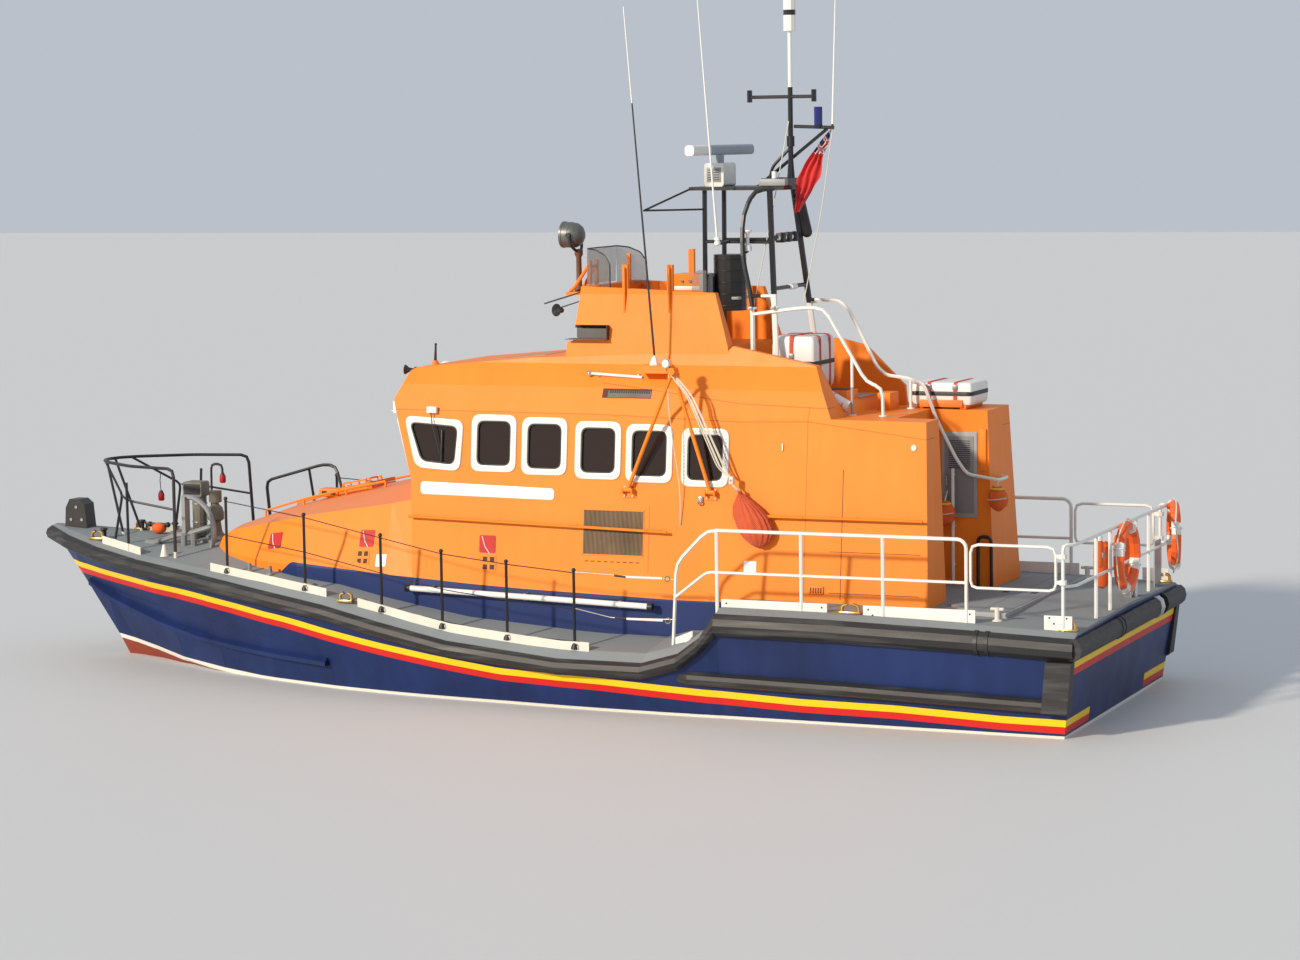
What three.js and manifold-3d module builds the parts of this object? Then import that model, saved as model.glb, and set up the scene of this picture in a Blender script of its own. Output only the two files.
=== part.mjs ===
// A 14 m all-weather lifeboat afloat: keeled hull, raised aft deck, orange wheelhouse with an
// upper steering position, mast, rails and deck gear. Millimetres, +X to the bow, +Y to port,
// +Z up, origin amidships on the centreline at the waterline.
import * as THREE from 'three';
import { mergeVertices } from 'three/addons/utils/BufferGeometryUtils.js';
import Module from 'manifold-3d';

const wasm = await Module();
wasm.setup();

// Driving dimensions
const gap = 0.3; // between pieces that rest on each other
const transomX = -7050; // transom at deck level
const stemX = 7050; // stem head at deck level
const draught = 1295; // waterline to the keel's underside
const deckThick = 30;
const rimWidth = 120; // sloping rim between gunwale and deck
const wallThick = 45; // superstructure walls
const sideFoot = [1450, 1200]; // half width and height at the foot of the superstructure
const sideKnuckle = [1230, 3300]; // and at the knuckle under the roof
const tubeRadius = 21; // guard rail tubes
const railSides = 6;

// Materials
const paint = (color, roughness = 0.45, metalness = 0) =>
  new THREE.MeshStandardMaterial({ color, roughness, metalness });
const navy = paint(0x14245a);
const orange = paint(0xf08a24, 0.5);
const deckGrey = paint(0x6d7a85, 0.9);
const rubber = paint(0x232427, 0.8);
const white = paint(0xe8e8e2, 0.4);
const black = paint(0x1b1d20, 0.5);
const glassDark = paint(0x20262b, 0.1);
const steel = paint(0xb9bcc0, 0.3, 0.9);
const bronze = paint(0xa8814a, 0.35, 0.9);
const gearGrey = paint(0x8b9094, 0.5, 0.5);
const cabinGrey = paint(0x3a3e44, 0.8);

// Solids from three.js geometry, with booleans by manifold-3d
function flipped(geometry) {
  const index = geometry.index.array;
  for (let i = 0; i < index.length; i += 3) [index[i], index[i + 1]] = [index[i + 1], index[i]];
  return geometry;
}

function volumeOf(geometry) {
  const p = geometry.attributes.position;
  const at = (i) => new THREE.Vector3().fromBufferAttribute(p, i);
  const index = geometry.index.array;
  let six = 0;
  for (let i = 0; i < index.length; i += 3) {
    six += at(index[i]).dot(at(index[i + 1]).cross(at(index[i + 2])));
  }
  return six / 6;
}

function solid(geometry) {
  const bare = geometry.clone();
  for (const name of Object.keys(bare.attributes)) {
    if (name !== 'position') bare.deleteAttribute(name);
  }
  const welded = mergeVertices(bare, 1e-3);
  if (volumeOf(welded) < 0) flipped(welded);
  return new wasm.Manifold(new wasm.Mesh({
    numProp: 3,
    vertProperties: new Float32Array(welded.attributes.position.array),
    triVerts: new Uint32Array(welded.index.array),
  }));
}

function geometryOf(piece) {
  const mesh = piece.simplify(0.05).getMesh();
  const geometry = new THREE.BufferGeometry();
  geometry.setAttribute('position', new THREE.BufferAttribute(mesh.vertProperties, 3));
  geometry.setIndex(new THREE.BufferAttribute(mesh.triVerts, 1));
  return geometry;
}

const join = (...pieces) => pieces.flat().reduce((all, piece) => all.add(piece));
const cut = (piece, ...tools) => tools.flat().reduce((left, tool) => left.subtract(tool), piece);
const both = (a, b) => a.intersect(b);

function box([x0, x1], [y0, y1], [z0, z1]) {
  const geometry = new THREE.BoxGeometry(Math.abs(x1 - x0), Math.abs(y1 - y0), Math.abs(z1 - z0));
  geometry.translate((x0 + x1) / 2, (y0 + y1) / 2, (z0 + z1) / 2);
  return solid(geometry);
}

const vec = (p) => new THREE.Vector3(...p);

// A straight round bar between two points
function rod(from, to, radius, sides = railSides, endRadius = radius) {
  const along = vec(to).sub(vec(from));
  const geometry = new THREE.CylinderGeometry(endRadius, radius, along.length(), sides);
  geometry.translate(0, along.length() / 2, 0);
  const up = new THREE.Vector3(0, 1, 0);
  geometry.applyQuaternion(new THREE.Quaternion().setFromUnitVectors(up, along.normalize()));
  geometry.translate(...from);
  return solid(geometry);
}

// A route through given points, one ring of the tube at each point
class Route extends THREE.Curve {
  constructor(points) {
    super();
    this.points = points;
  }
  getPoint(t) {
    const last = this.points.length - 1;
    const i = Math.min(Math.floor(t * last + 1e-6), last - 1);
    return this.points[i].clone().lerp(this.points[i + 1], t * last - i);
  }
  getPointAt(u) {
    return this.getPoint(u);
  }
  getTangentAt(u) {
    const last = this.points.length - 1;
    const i = Math.round(u * last);
    const before = this.points[Math.max(i - 1, 0)];
    const after = this.points[Math.min(i + 1, last)];
    const here = this.points[i];
    const into = here.clone().sub(before).normalize();
    const out = after.clone().sub(here).normalize();
    return into.add(out).normalize();
  }
}

// Corners of a polyline rounded off by arcs of a few points
function rounded(corners, bend) {
  const points = corners.map(vec);
  const route = [points[0]];
  for (let i = 1; i < points.length - 1; i += 1) {
    const back = points[i - 1].clone().sub(points[i]);
    const on = points[i + 1].clone().sub(points[i]);
    const reach = Math.min(bend, back.length() * 0.45, on.length() * 0.45);
    const start = points[i].clone().add(back.setLength(reach));
    const end = points[i].clone().add(on.setLength(reach));
    const curve = new THREE.QuadraticBezierCurve3(start, points[i], end);
    route.push(...curve.getPoints(2));
  }
  route.push(points[points.length - 1]);
  return route;
}

function circle(radius, sides) {
  const shape = new THREE.Shape();
  for (let i = 0; i < sides; i += 1) {
    const a = (i + 0.5) / sides * 2 * Math.PI;
    if (i === 0) shape.moveTo(radius * Math.cos(a), radius * Math.sin(a));
    else shape.lineTo(radius * Math.cos(a), radius * Math.sin(a));
  }
  shape.closePath();
  return shape;
}

function pipe(corners, radius = tubeRadius, bend = 120, sides = railSides) {
  const points = rounded(corners, bend);
  return solid(new THREE.ExtrudeGeometry(circle(radius, sides), {
    steps: points.length - 1,
    extrudePath: new Route(points),
  }));
}

function outline(points) {
  return new THREE.Shape(points.map(([a, b]) => new THREE.Vector2(a, b)));
}

// An outline given in two axes, run along the third
function prism(points, axis, from, to) {
  const shape = points instanceof THREE.Shape ? points : outline(points);
  const geometry = new THREE.ExtrudeGeometry(shape, {
    depth: Math.abs(to - from), bevelEnabled: false, curveSegments: 2,
  });
  geometry.translate(0, 0, Math.min(from, to));
  if (axis === 'x') geometry.applyMatrix4(new THREE.Matrix4().set(
    0, 0, 1, 0, 1, 0, 0, 0, 0, 1, 0, 0, 0, 0, 0, 1)); // outline in Y, Z
  if (axis === 'y') geometry.applyMatrix4(new THREE.Matrix4().set(
    1, 0, 0, 0, 0, 0, 1, 0, 0, 1, 0, 0, 0, 0, 0, 1)); // outline in X, Z
  return solid(geometry);
}

function roundedRect(width, height, radius, [cx, cy] = [0, 0]) {
  const [w, h] = [width / 2, height / 2];
  const shape = new THREE.Shape();
  shape.moveTo(cx - w + radius, cy - h);
  shape.lineTo(cx + w - radius, cy - h);
  shape.absarc(cx + w - radius, cy - h + radius, radius, -Math.PI / 2, 0);
  shape.lineTo(cx + w, cy + h - radius);
  shape.absarc(cx + w - radius, cy + h - radius, radius, 0, Math.PI / 2);
  shape.lineTo(cx - w + radius, cy + h);
  shape.absarc(cx - w + radius, cy + h - radius, radius, Math.PI / 2, Math.PI);
  shape.lineTo(cx - w, cy - h + radius);
  shape.absarc(cx - w + radius, cy - h + radius, radius, Math.PI, Math.PI * 1.5);
  shape.closePath();
  return shape;
}

// A turned piece about a vertical axis; the profile is [radius, height] from the axis back to it
function turned(profile, [x, y, z], sides = 12) {
  const geometry = new THREE.LatheGeometry(profile.map(([r, h]) => new THREE.Vector2(r, h)), sides);
  geometry.rotateX(Math.PI / 2);
  geometry.translate(x, y, z);
  return solid(geometry);
}

// A skin through rings of equal count, closed by its two end rings. Each quad is split along its
// shorter diagonal, so that skins through the same points lie flat on each other.
function loft(rings) {
  const count = rings[0].length;
  const apart = ([i, j], [k, l]) => vec(rings[i][j]).distanceTo(vec(rings[k][l]));
  const index = [];
  for (let i = 0; i < rings.length - 1; i += 1) {
    for (let j = 0; j < count; j += 1) {
      const next = (j + 1) % count;
      const [a, b, c, d] = [[i, j], [i, next], [i + 1, next], [i + 1, j]];
      const faces = apart(a, c) <= apart(b, d) ? [a, b, c, a, c, d] : [a, b, d, b, c, d];
      index.push(...faces.map(([row, column]) => row * count + column));
    }
  }
  for (const [start, turn] of [[0, true], [(rings.length - 1) * count, false]]) {
    const flat = rings[start / count].map(([, y, z]) => new THREE.Vector2(y, z));
    const backwards = THREE.ShapeUtils.isClockWise(flat);
    for (const [a, b, c] of THREE.ShapeUtils.triangulateShape(flat, [])) {
      const face = [a + start, b + start, c + start];
      index.push(...(turn === backwards ? face : face.reverse()));
    }
  }
  const geometry = new THREE.BufferGeometry();
  geometry.setAttribute('position', new THREE.Float32BufferAttribute(rings.flat(2), 3));
  geometry.setIndex(index);
  return solid(geometry);
}

const boat = new THREE.Group();

function place(name, piece, material, parent = boat) {
  const mesh = new THREE.Mesh(geometryOf(piece), material.clone());
  mesh.name = name;
  parent.add(mesh);
  return mesh;
}

const portAndStarboard = [['port', 1], ['starboard', -1]];
const lerp = THREE.MathUtils.lerp;

// Hull lines, from the transom to the stem head
const lines = [
  // deckX, deckHalf, sheer, chineX, chineHalf, chineZ, keelX, keelZ, rise of rim, camber, flare
  [-7050, 2200, 1110, -6880, 2040, -150, -6880, -480, 45, 0.02, -15],
  [-5800, 2225, 1160, -5700, 2020, -190, -5700, -600, 45, 0.02, -20],
  [-4300, 2240, 1200, -4300, 2000, -220, -4300, -720, 45, 0.02, -25],
  [-2960, 2240, 1210, -2960, 1985, -230, -2960, -790, 45, 0.02, -25],
  [-2760, 2235, 930, -2760, 1980, -230, -2760, -795, 60, 0.05, -20],
  [-2500, 2230, 740, -2500, 1970, -225, -2500, -800, 80, 0.10, -15],
  [-2050, 2220, 610, -2050, 1950, -220, -2050, -810, 90, 0.15, -15],
  [-1000, 2215, 610, -1000, 1890, -210, -1000, -830, 90, 0.17, -20],
  [450, 2110, 730, 450, 1780, -190, 450, -830, 90, 0.17, -20],
  [1360, 2020, 890, 1360, 1700, -165, 1360, -810, 90, 0.17, -5],
  [2200, 1890, 1045, 2200, 1560, -130, 2200, -780, 90, 0.17, 15],
  [3150, 1690, 1160, 3150, 1290, -90, 3150, -730, 75, 0.17, 45],
  [4150, 1410, 1270, 4050, 960, -20, 4000, -640, 55, 0.16, 70],
  [5200, 1070, 1360, 4850, 580, 70, 4750, -510, 45, 0.15, 85],
  [6000, 740, 1455, 5450, 280, 150, 5300, -360, 40, 0.12, 70],
  [6600, 420, 1540, 5850, 110, 200, 5620, -260, 35, 0.10, 40],
  [stemX, 90, 1610, 6140, 25, 240, 5880, -150, 20, 0.02, 5],
];
const [deckX, deckHalf, sheer, , , , , , rimRise, camber] = [0, 1, 2, 3, 4, 5, 6, 7, 8, 9];

// A column of the table at any station, straight between its rows
function lineAt(x, column) {
  const i = Math.min(Math.max(lines.findIndex((row) => row[deckX] >= x), 1), lines.length - 1);
  const [aft, fore] = [lines[i - 1], lines[i]];
  const t = (x - aft[deckX]) / (fore[deckX] - aft[deckX]);
  return lerp(aft[column], fore[column], t);
}

function deckZ(x, y) {
  const rim = lineAt(x, deckHalf) - rimWidth;
  return lineAt(x, sheer) + lineAt(x, rimRise) + lineAt(x, camber) * Math.max(rim - Math.abs(y), 0);
}

// One hull or deck edge ring: the port half from the centreline down or up, then its mirror image
function ringOf(half) {
  const mirrored = half.filter(([, y]) => Math.abs(y) > 1e-6).map(([x, y, z]) => [x, -y, z]);
  return [...half, ...mirrored.reverse()];
}

function deckEdge([x, half, top, , , , , , rise, slope], drop, grow = 0) {
  const rim = Math.max(half - rimWidth, half * 0.4);
  return [
    [x, half + grow, top - drop],
    [x, rim + grow, top + rise - drop],
    [x, 0, top + rise + slope * rim - drop],
  ];
}

function hullRing(row, grow = 0) {
  const [x, half, top, chineX, chineHalf, chineZ, keelX, keelZ, , , flare] = row;
  const [edge, rim, crown] = deckEdge(row, deckThick + gap, grow);
  return ringOf([
    [keelX, 0, keelZ - grow],
    [lerp(keelX, chineX, 0.5), chineHalf * 0.5, lerp(keelZ, chineZ, 0.4) - grow],
    [chineX, chineHalf + grow, chineZ - grow],
    [lerp(chineX, x, 0.5), lerp(chineHalf, half, 0.5) - flare + grow, lerp(chineZ, top, 0.5)],
    edge, rim, crown,
  ]);
}

function deckSlab(rows) {
  return loft(rows.map((row) => {
    const top = deckEdge(row, 0);
    const under = deckEdge(row, deckThick).reverse();
    return ringOf([...under, ...top]);
  }));
}

// Hull and deck as cutters, a gap outside their surfaces, for what lies or stands on them
const endShift = (x) => (Math.abs(x) > 7000 ? Math.sign(x) * gap : 0);
const moved = (ring, shift) => ring.map(([x, y, z]) => [x + shift, y, z]);
const deckCutter = loft(lines.map((row) => moved(ringOf([
  [row[deckX], 0, -200],
  [row[deckX], row[deckHalf] * 0.9, -200],
  [row[deckX], row[deckHalf] + gap, row[sheer] - deckThick - gap],
  ...deckEdge(row, -gap, gap),
]), endShift(row[deckX]))));
const hullCutter = loft(lines.map((row) => moved(hullRing(row, gap), endShift(row[deckX]))));

// Keel fin under the hull, with the forefoot and a heel aft that stops before the propellers
const keelHalf = 60;
const keelFin = prism([
  [-4600, -600], [-4300, -draught + 60], [-4100, -draught], [3600, -draught + 120],
  [4700, -700], [5200, -380], [4000, -300], [-4600, -300],
], 'y', -keelHalf, keelHalf);

// Spray rails along the bow, from the stem to a square end
const sprayRail = [
  // x, half width of the hull there, height
  [6500, 110, 1000], [6230, 240, 890], [5930, 330, 790], [5160, 640, 610],
  [4420, 940, 500], [3680, 1220, 450], [3000, 1460, 420], [2240, 1690, 400],
];
const sprayRails = portAndStarboard.map(([, side]) => loft(sprayRail.map(([x, y, z]) => [
  [x, side * (y - 100), z + 40], [x, side * (y + 55), z - 70],
  [x, side * (y + 55), z - 120], [x, side * Math.max(y - 200, 10), z - 130],
])));
// Bilge keels that guard the propellers, and the bosses of the rudder stocks
const bilgeKeels = portAndStarboard.map(([, side]) => prism([
  [-6100, -500], [-5950, -880], [-2600, -940], [-2300, -700], [-2300, -250], [-6100, -250],
], 'y', side * 1420 - 35, side * 1420 + 35));
const rudder = { x: -5880, y: 1000, boss: -540 };
const rudderBosses = portAndStarboard.map(([, side]) => rod(
  [rudder.x, side * rudder.y, rudder.boss], [rudder.x, side * rudder.y, -300], 70, 10));
place('hull', join(loft(lines.map((row) => hullRing(row))), keelFin, sprayRails, bilgeKeels,
  rudderBosses), navy);

const stepRow = 6; // the row at the foot of the step
place('foredeck', deckSlab(lines.slice(stepRow)), deckGrey);
const aftRows = lines.slice(0, stepRow + 1).map((row) => [...row]);
aftRows[stepRow][deckX] -= gap;
place('aft_deck', deckSlab(aftRows), deckGrey);

// Rubber fenders: [deck station, height], a D section that follows the gunwale round the bow
const fenderOut = 95;
function fenderRing([x, y, z], [nx, ny], height, depth = 70) {
  const ring = [
    [-depth, 0], [20, 0], [fenderOut - 20, -height * 0.2], [fenderOut, -height * 0.5],
    [fenderOut - 20, -height * 0.8], [20, -height], [-depth, -height],
  ];
  return ring.map(([out, up]) => [x + nx * out, y + ny * out, z + up]);
}
const fenderHeight = (x) => (x < -2900 ? 250 : 185);
const gunwale = lines.map((row) => [row[deckX], row[deckHalf], row[sheer]]);
function normalAt(i) {
  const before = gunwale[Math.max(i - 1, 0)];
  const after = gunwale[Math.min(i + 1, gunwale.length - 1)];
  const out = new THREE.Vector2(before[1] - after[1], after[0] - before[0]).normalize();
  return i === gunwale.length - 1 ? [0.75, 0.66] : [out.x, out.y];
}
const portRings = gunwale.map((point, i) => fenderRing(point, normalAt(i), fenderHeight(point[0])));
const noseRing = fenderRing([stemX + 15, 0, 1612], [1, 0], 185);
const starboardRings = portRings.map((ring) => ring.map(([x, y, z]) => [x, -y, z])).reverse();

function fitted(piece) {
  return cut(piece, hullCutter, deckCutter);
}
const transomFender = cut(prism([
  [transomX + 40, 880], [transomX - 30, 880], [transomX - 75, 920], [transomX - fenderOut, 992],
  [transomX - 75, 1065], [transomX - 30, 1105], [transomX + 40, 1105],
], 'y', -2250, 2250), box([-7300, transomX - 2], [-1400, -1240], [870, 1110]));
place('fender_upper', fitted(join(
  loft([...portRings, noseRing, ...starboardRings]), transomFender)), rubber);

const lowerFender = [
  // x, half, top
  [-2300, 2010, 520], [-2600, 2150, 530], [-4500, 2170, 500], [-6960, 2165, 430],
];
for (const [name, side] of portAndStarboard) {
  const rings = lowerFender.map(([x, y, z]) =>
    fenderRing([x, y, z], [0, 1], 150, 130).map(([a, b, c]) => [a, side * b, c]));
  const pad = loft([0, 1].map((end) => [
    [-6700 - end * 285, side * 2050, 300], [-6700 - end * 285, side * 2275, 300],
    [-6760 - end * 285, side * 2310, 860], [-6760 - end * 285, side * 2050, 860],
  ]));
  place(`fender_lower_${name}`, cut(fitted(join(loft(rings), pad)),
    box([-8000, 8000], [side * 1500, side * 2600], [861, 2000])), rubber);
}

// Superstructure: three outlines crossed with each other, hollowed by the same outlines set in
const mirrorOutline = (half) => [...half, ...half.slice().reverse().map(([y, z]) => [-y, z])];
const across = (inset) => mirrorOutline([
  [sideFoot[0] - inset, 300], [sideFoot[0] - inset, sideFoot[1]],
  [sideKnuckle[0] - inset, sideKnuckle[1] - inset * 0.1],
  [1090 - inset, 3600 - inset * 0.4], [930 - inset, 3860 - inset * 0.6], [860 - inset, 4100],
]);
const bulkheadX = -4600; // the aft bulkhead with the door
const wellX = [-2660, -4100]; // open well behind the upper steering position
const wellFloor = 3450;
const roofLine = [[1740, 3290], [1750, 3400], [1660, 3590], [1330, 3790], [-150, 3920], [-2600, 4020]];
const outsideProfile = () => [
  [frontFoot[0], 300], frontFoot, ...roofLine, [-2660, 4080], [-3690, 3870], [-3970, 3300],
  [-5280, 3290], [-5350, 1200], [-5350, 300],
];
const frontFoot = [1550, 2500]; // centre facet of the front, foot and head
const frontHead = [1740, 3290];
const cornerFoot = [1290, 1250]; // outer corner of the front at its foot
const facetHalf = 620;
const frontLean = Math.atan2(frontHead[0] - frontFoot[0], frontHead[1] - frontFoot[1]);
const cornerTurn = Math.atan2(frontFoot[0] - cornerFoot[0], cornerFoot[1] - facetHalf);
const cornerLean = frontLean * 0.9;

function insideProfile(extra) {
  const back = wallThick / Math.cos(frontLean) + extra;
  const down = wallThick + extra;
  return [
    [frontFoot[0] - back, 300], [frontFoot[0] - back, frontFoot[1]],
    [frontHead[0] - back, frontHead[1]], [1695 - extra, 3380], [1620 - extra, 3555 - extra],
    [1310, 3740 - extra], [-150, 3920 - down], [-2600, 4020 - down],
    [-2600, wellFloor - down], [-3865 + extra, wellFloor - down], [-3945 + extra, 3290 - down],
    [bulkheadX + down, 3290 - down], [bulkheadX + down, 300],
  ];
}

// A big block whose face is the slanting front quarter of the wheelhouse
function quarterBlock(side, inset) {
  const geometry = new THREE.BoxGeometry(2000, 4000, 6000);
  geometry.translate(1000 - inset, 0, 0);
  geometry.rotateY(cornerLean);
  geometry.rotateZ(side * cornerTurn);
  geometry.translate(cornerFoot[0], side * cornerFoot[1], frontFoot[1]);
  const whole = solid(geometry);
  return both(whole, box([900, 4000], [-2500, 2500], [frontFoot[1], 4300]));
}
function lowerQuarter(side, inset) {
  const geometry = new THREE.BoxGeometry(2000, 4000, 2800);
  geometry.translate(1000 - inset, 0, 0);
  geometry.rotateZ(side * cornerTurn);
  geometry.translate(cornerFoot[0], side * cornerFoot[1], 1100);
  return solid(geometry);
}
// The roof's front corners are cut off by a slanting plane through a point on each side
function roofCorner(side, inset) {
  const geometry = new THREE.BoxGeometry(600, 1600, 1600);
  geometry.translate(300 - inset, 0, 0);
  const outward = new THREE.Vector3(0.775, side * 0.357, 0.522).normalize();
  const forward = new THREE.Vector3(1, 0, 0);
  geometry.applyQuaternion(new THREE.Quaternion().setFromUnitVectors(forward, outward));
  geometry.translate(1601, side * 1100, 3380);
  return solid(geometry);
}
const quarters = (inset) => [1, -1].flatMap((side) => [
  quarterBlock(side, inset), lowerQuarter(side, inset), roofCorner(side, inset)]);

const houseOutside = cut(both(
  prism(outsideProfile(), 'y', -2000, 2000), prism(across(0), 'x', -6000, 3000)), quarters(0));
const cavity = (extra) => cut(both(
  prism(insideProfile(extra), 'y', -2000, 2000),
  prism(across(wallThick + extra), 'x', -6000, 3000)), quarters(wallThick + extra));
const well = box(wellX, [-790, 790], [wellFloor, 5000]);
const alcove = box([-6000, bulkheadX], [-400, 800], [300, 5000]);
// The port wing beside the alcove is shorter than the starboard block
const wingEnd = prism([[-6000, 300], [-5170, 300], [-5170, 1200], [-5090, 3290], [-5080, 3400],
  [-6000, 3400]], 'y', 700, 2000);
const wellFin = prism([[-2660, 3270], [-2660, 4080], [-3352, 4075], [-3675, 3995], [-4154, 3533],
  [-4180, 3270]], 'y', -850, -790);

// Windows lie in the leaning side wall: u forward, v up the wall, w out of it
const sideLean = Math.atan2(sideFoot[0] - sideKnuckle[0], sideKnuckle[1] - sideFoot[1]);
function onSide(side, geometry, out = 0) {
  geometry.translate(0, 0, out);
  geometry.applyMatrix4(new THREE.Matrix4().set(
    1, 0, 0, 0, 0, 0, 1, 0, 0, 1, 0, 0, 0, 0, 0, 1)); // v becomes Z, w becomes Y
  geometry.rotateX(sideLean);
  geometry.translate(0, sideFoot[0], sideFoot[1]);
  if (side < 0) geometry.scale(1, -1, 1);
  return solid(geometry);
}
const upWall = (z) => (z - sideFoot[1]) / Math.cos(sideLean);
const windowSize = [570, 660];
const frameWidth = 75;
const sideWindows = [[190, 2940], [-460, 2920], [-1140, 2890], [-1780, 2870], [-2470, 2840]];
const firstWindow = [[1365, 3235], [590, 3195], [625, 2605], [1200, 2640]];

// One window outline, grown or shrunk by an offset
function windowShapes(offset) {
  const plain = sideWindows.map(([x, z]) => roundedRect(
    windowSize[0] + 2 * offset, windowSize[1] + 2 * offset, 130 + offset, [x, upWall(z)]));
  const centre = [940, 2920];
  const corners = firstWindow.map(([x, z]) => [
    x + Math.sign(x - centre[0]) * offset, upWall(z + Math.sign(z - centre[1]) * offset)]);
  const slanted = new THREE.Shape();
  corners.forEach(([u, v], i) => {
    const [nextU, nextV] = corners[(i + 1) % 4];
    const [lastU, lastV] = corners[(i + 3) % 4];
    const reach = (130 + offset) * 0.9;
    const toward = (a, b) => {
      const length = Math.hypot(a - u, b - v);
      return [u + (a - u) / length * reach, v + (b - v) / length * reach];
    };
    const [start, end] = [toward(lastU, lastV), toward(nextU, nextV)];
    if (i === 0) slanted.moveTo(...start);
    else slanted.lineTo(...start);
    slanted.quadraticCurveTo(u, v, ...end);
  });
  slanted.closePath();
  return [slanted, ...plain];
}
const sheet = (shape, thick) => new THREE.ExtrudeGeometry(shape, {
  depth: thick, bevelEnabled: false, curveSegments: 1 });
function windowCuts(side, offset, from, to) {
  return windowShapes(offset).map((shape) => onSide(side, sheet(shape, to - from), from));
}
const linerOutline = (inset) => [
  [1120 - inset, upWall(2560) + inset], [1290 - inset, upWall(3270) - inset],
  [-2800 + inset, upWall(3240) - inset], [-2800 + inset, upWall(2480) + inset],
];
const liner = (side, inset, from, to) => onSide(
  side, sheet(outline(linerOutline(inset)), to - from), from);

// Front windows: one on the centre facet and one on each slanting quarter
const paneHeight = 2905;
function onFront(side, shape, from, to) {
  const geometry = sheet(shape, to - from);
  geometry.translate(0, 0, from);
  geometry.applyMatrix4(new THREE.Matrix4().set(
    0, 0, 1, 0, 1, 0, 0, 0, 0, 1, 0, 0, 0, 0, 0, 1)); // out of the wall becomes X
  const up = paneHeight - frontFoot[1];
  geometry.rotateY(side === 0 ? frontLean : cornerLean);
  geometry.translate(up * Math.tan(side === 0 ? frontLean : cornerLean), 0, up);
  geometry.rotateZ(side * cornerTurn);
  const foot = side === 0 ? frontFoot[0] : (frontFoot[0] + cornerFoot[0]) / 2;
  geometry.translate(foot, side * (facetHalf + cornerFoot[1]) / 2, frontFoot[1]);
  return solid(geometry);
}
const frontPanes = (offset, from, to) => [-1, 0, 1].map((side) => onFront(side, roundedRect(
  (side === 0 ? 980 : 470) + 2 * offset, 610 + 2 * offset, 110 + offset), from, to));
const slabs = (from, to) => [-1, 0, 1].map((side) => onFront(side, outline(
  side === 0 ? [[-660, -345], [660, -345], [660, 345], [-660, 345]]
    : [[side * -352, -345], [side * 270, -345], [side * 270, 345], [side * -352, 345]],
), from, to));

const doorSize = { width: 550, bottom: 1420, top: 3020, starboard: -300 };
const doorPort = doorSize.starboard + doorSize.width;
const hinge = { x: bulkheadX - 25, y: doorPort + 15, radius: 14, heights: [1640, 2780] };
const doorLugs = hinge.heights.map((z) => join(
  rod([hinge.x, hinge.y, z - 30], [hinge.x, hinge.y, z - 0.5], 10, 8),
  box([hinge.x, bulkheadX + 10], [hinge.y - 9, hinge.y + 9], [z - 30, z - 0.5])));
const doorway = box([bulkheadX - 50, bulkheadX + 100],
  [doorSize.starboard + 10, doorSize.starboard + doorSize.width - 10],
  [doorSize.bottom + 10, doorSize.top - 10]);
const louvre = { x: -1355, z: 1955, width: 770, height: 530 };
function louvreSheet(side, grow, thick, out) {
  const [u, v] = [louvre.width / 2 + grow, louvre.height / 2 + grow];
  const [x, up] = [louvre.x, upWall(louvre.z)];
  return onSide(side, sheet(outline(
    [[x - u, up - v], [x + u, up - v], [x + u, up + v], [x - u, up + v]]), thick), out);
}

// What the side walls carry: grab rails on short feet, and the brackets of the recovery frame
const wallY = (z) => lerp(sideFoot[0], sideKnuckle[0],
  (z - sideFoot[1]) / (sideKnuckle[1] - sideFoot[1]));
const grabRuns = [[1250, -2050, 2070, 1990], [-2850, -5100, 2210, 2210]];
const grabRails = portAndStarboard.flatMap(([, side]) => grabRuns.flatMap(([fore, aft, zFore, zAft]) => {
  const feet = [0.03, 0.35, 0.65, 0.97].map((t) => {
    const [x, z] = [lerp(fore, aft, t), lerp(zFore, zAft, t)];
    return rod([x, side * (wallY(z) - 20), z], [x, side * (wallY(z) + 75), z], 14, 4);
  });
  return [rod([fore, side * (wallY(zFore) + 70), zFore], [aft, side * (wallY(zAft) + 70), zAft], 17),
    ...feet];
}));
const davit = { y: 1365, z: 2455, feet: [-1540, -2560], apex: [-2160, 1450, 3830] };
const davitBrackets = davit.feet.flatMap((x) => [-1, 1].map((side) => box(
  [x + side * 50, x + side * 64], [1290, davit.y + 30], [davit.z - 45, davit.z + 15])));

place('wheelhouse', cut(join(
  cut(houseOutside, well, alcove, wingEnd), wellFin, grabRails, davitBrackets, doorLugs),
  cavity(0), doorway, deckCutter,
  portAndStarboard.flatMap(([, side]) => [
    ...windowCuts(side, gap, -200, 200), louvreSheet(side, gap, 60, -25)]),
  frontPanes(gap, -200, 200)), orange);

// Window frames fill their holes in the wall and are joined by a liner inside it
for (const [name, side] of portAndStarboard) {
  const frames = windowCuts(side, 0, -wallThick - 12, 14);
  const inner = liner(side, 0, -wallThick - 12, -wallThick - gap);
  place(`window_frames_${name}`,
    cut(join(frames, inner), windowCuts(side, -frameWidth, -200, 200)), white);
  place(`window_glass_${name}`,
    liner(side, 20, -wallThick - 24, -wallThick - 12 - gap), glassDark);
}
const frontLiner = both(join(slabs(-wallThick - 12, -wallThick - gap)), cavity(gap));
place('window_frames_front', cut(join(
  frontPanes(0, -wallThick - 12, 14), frontLiner,
), frontPanes(-70, -200, 200)), white);
place('window_glass_front', both(
  join(slabs(-wallThick - 24, -wallThick - 12 - gap)), cavity(12 + 2 * gap)), glassDark);

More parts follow.
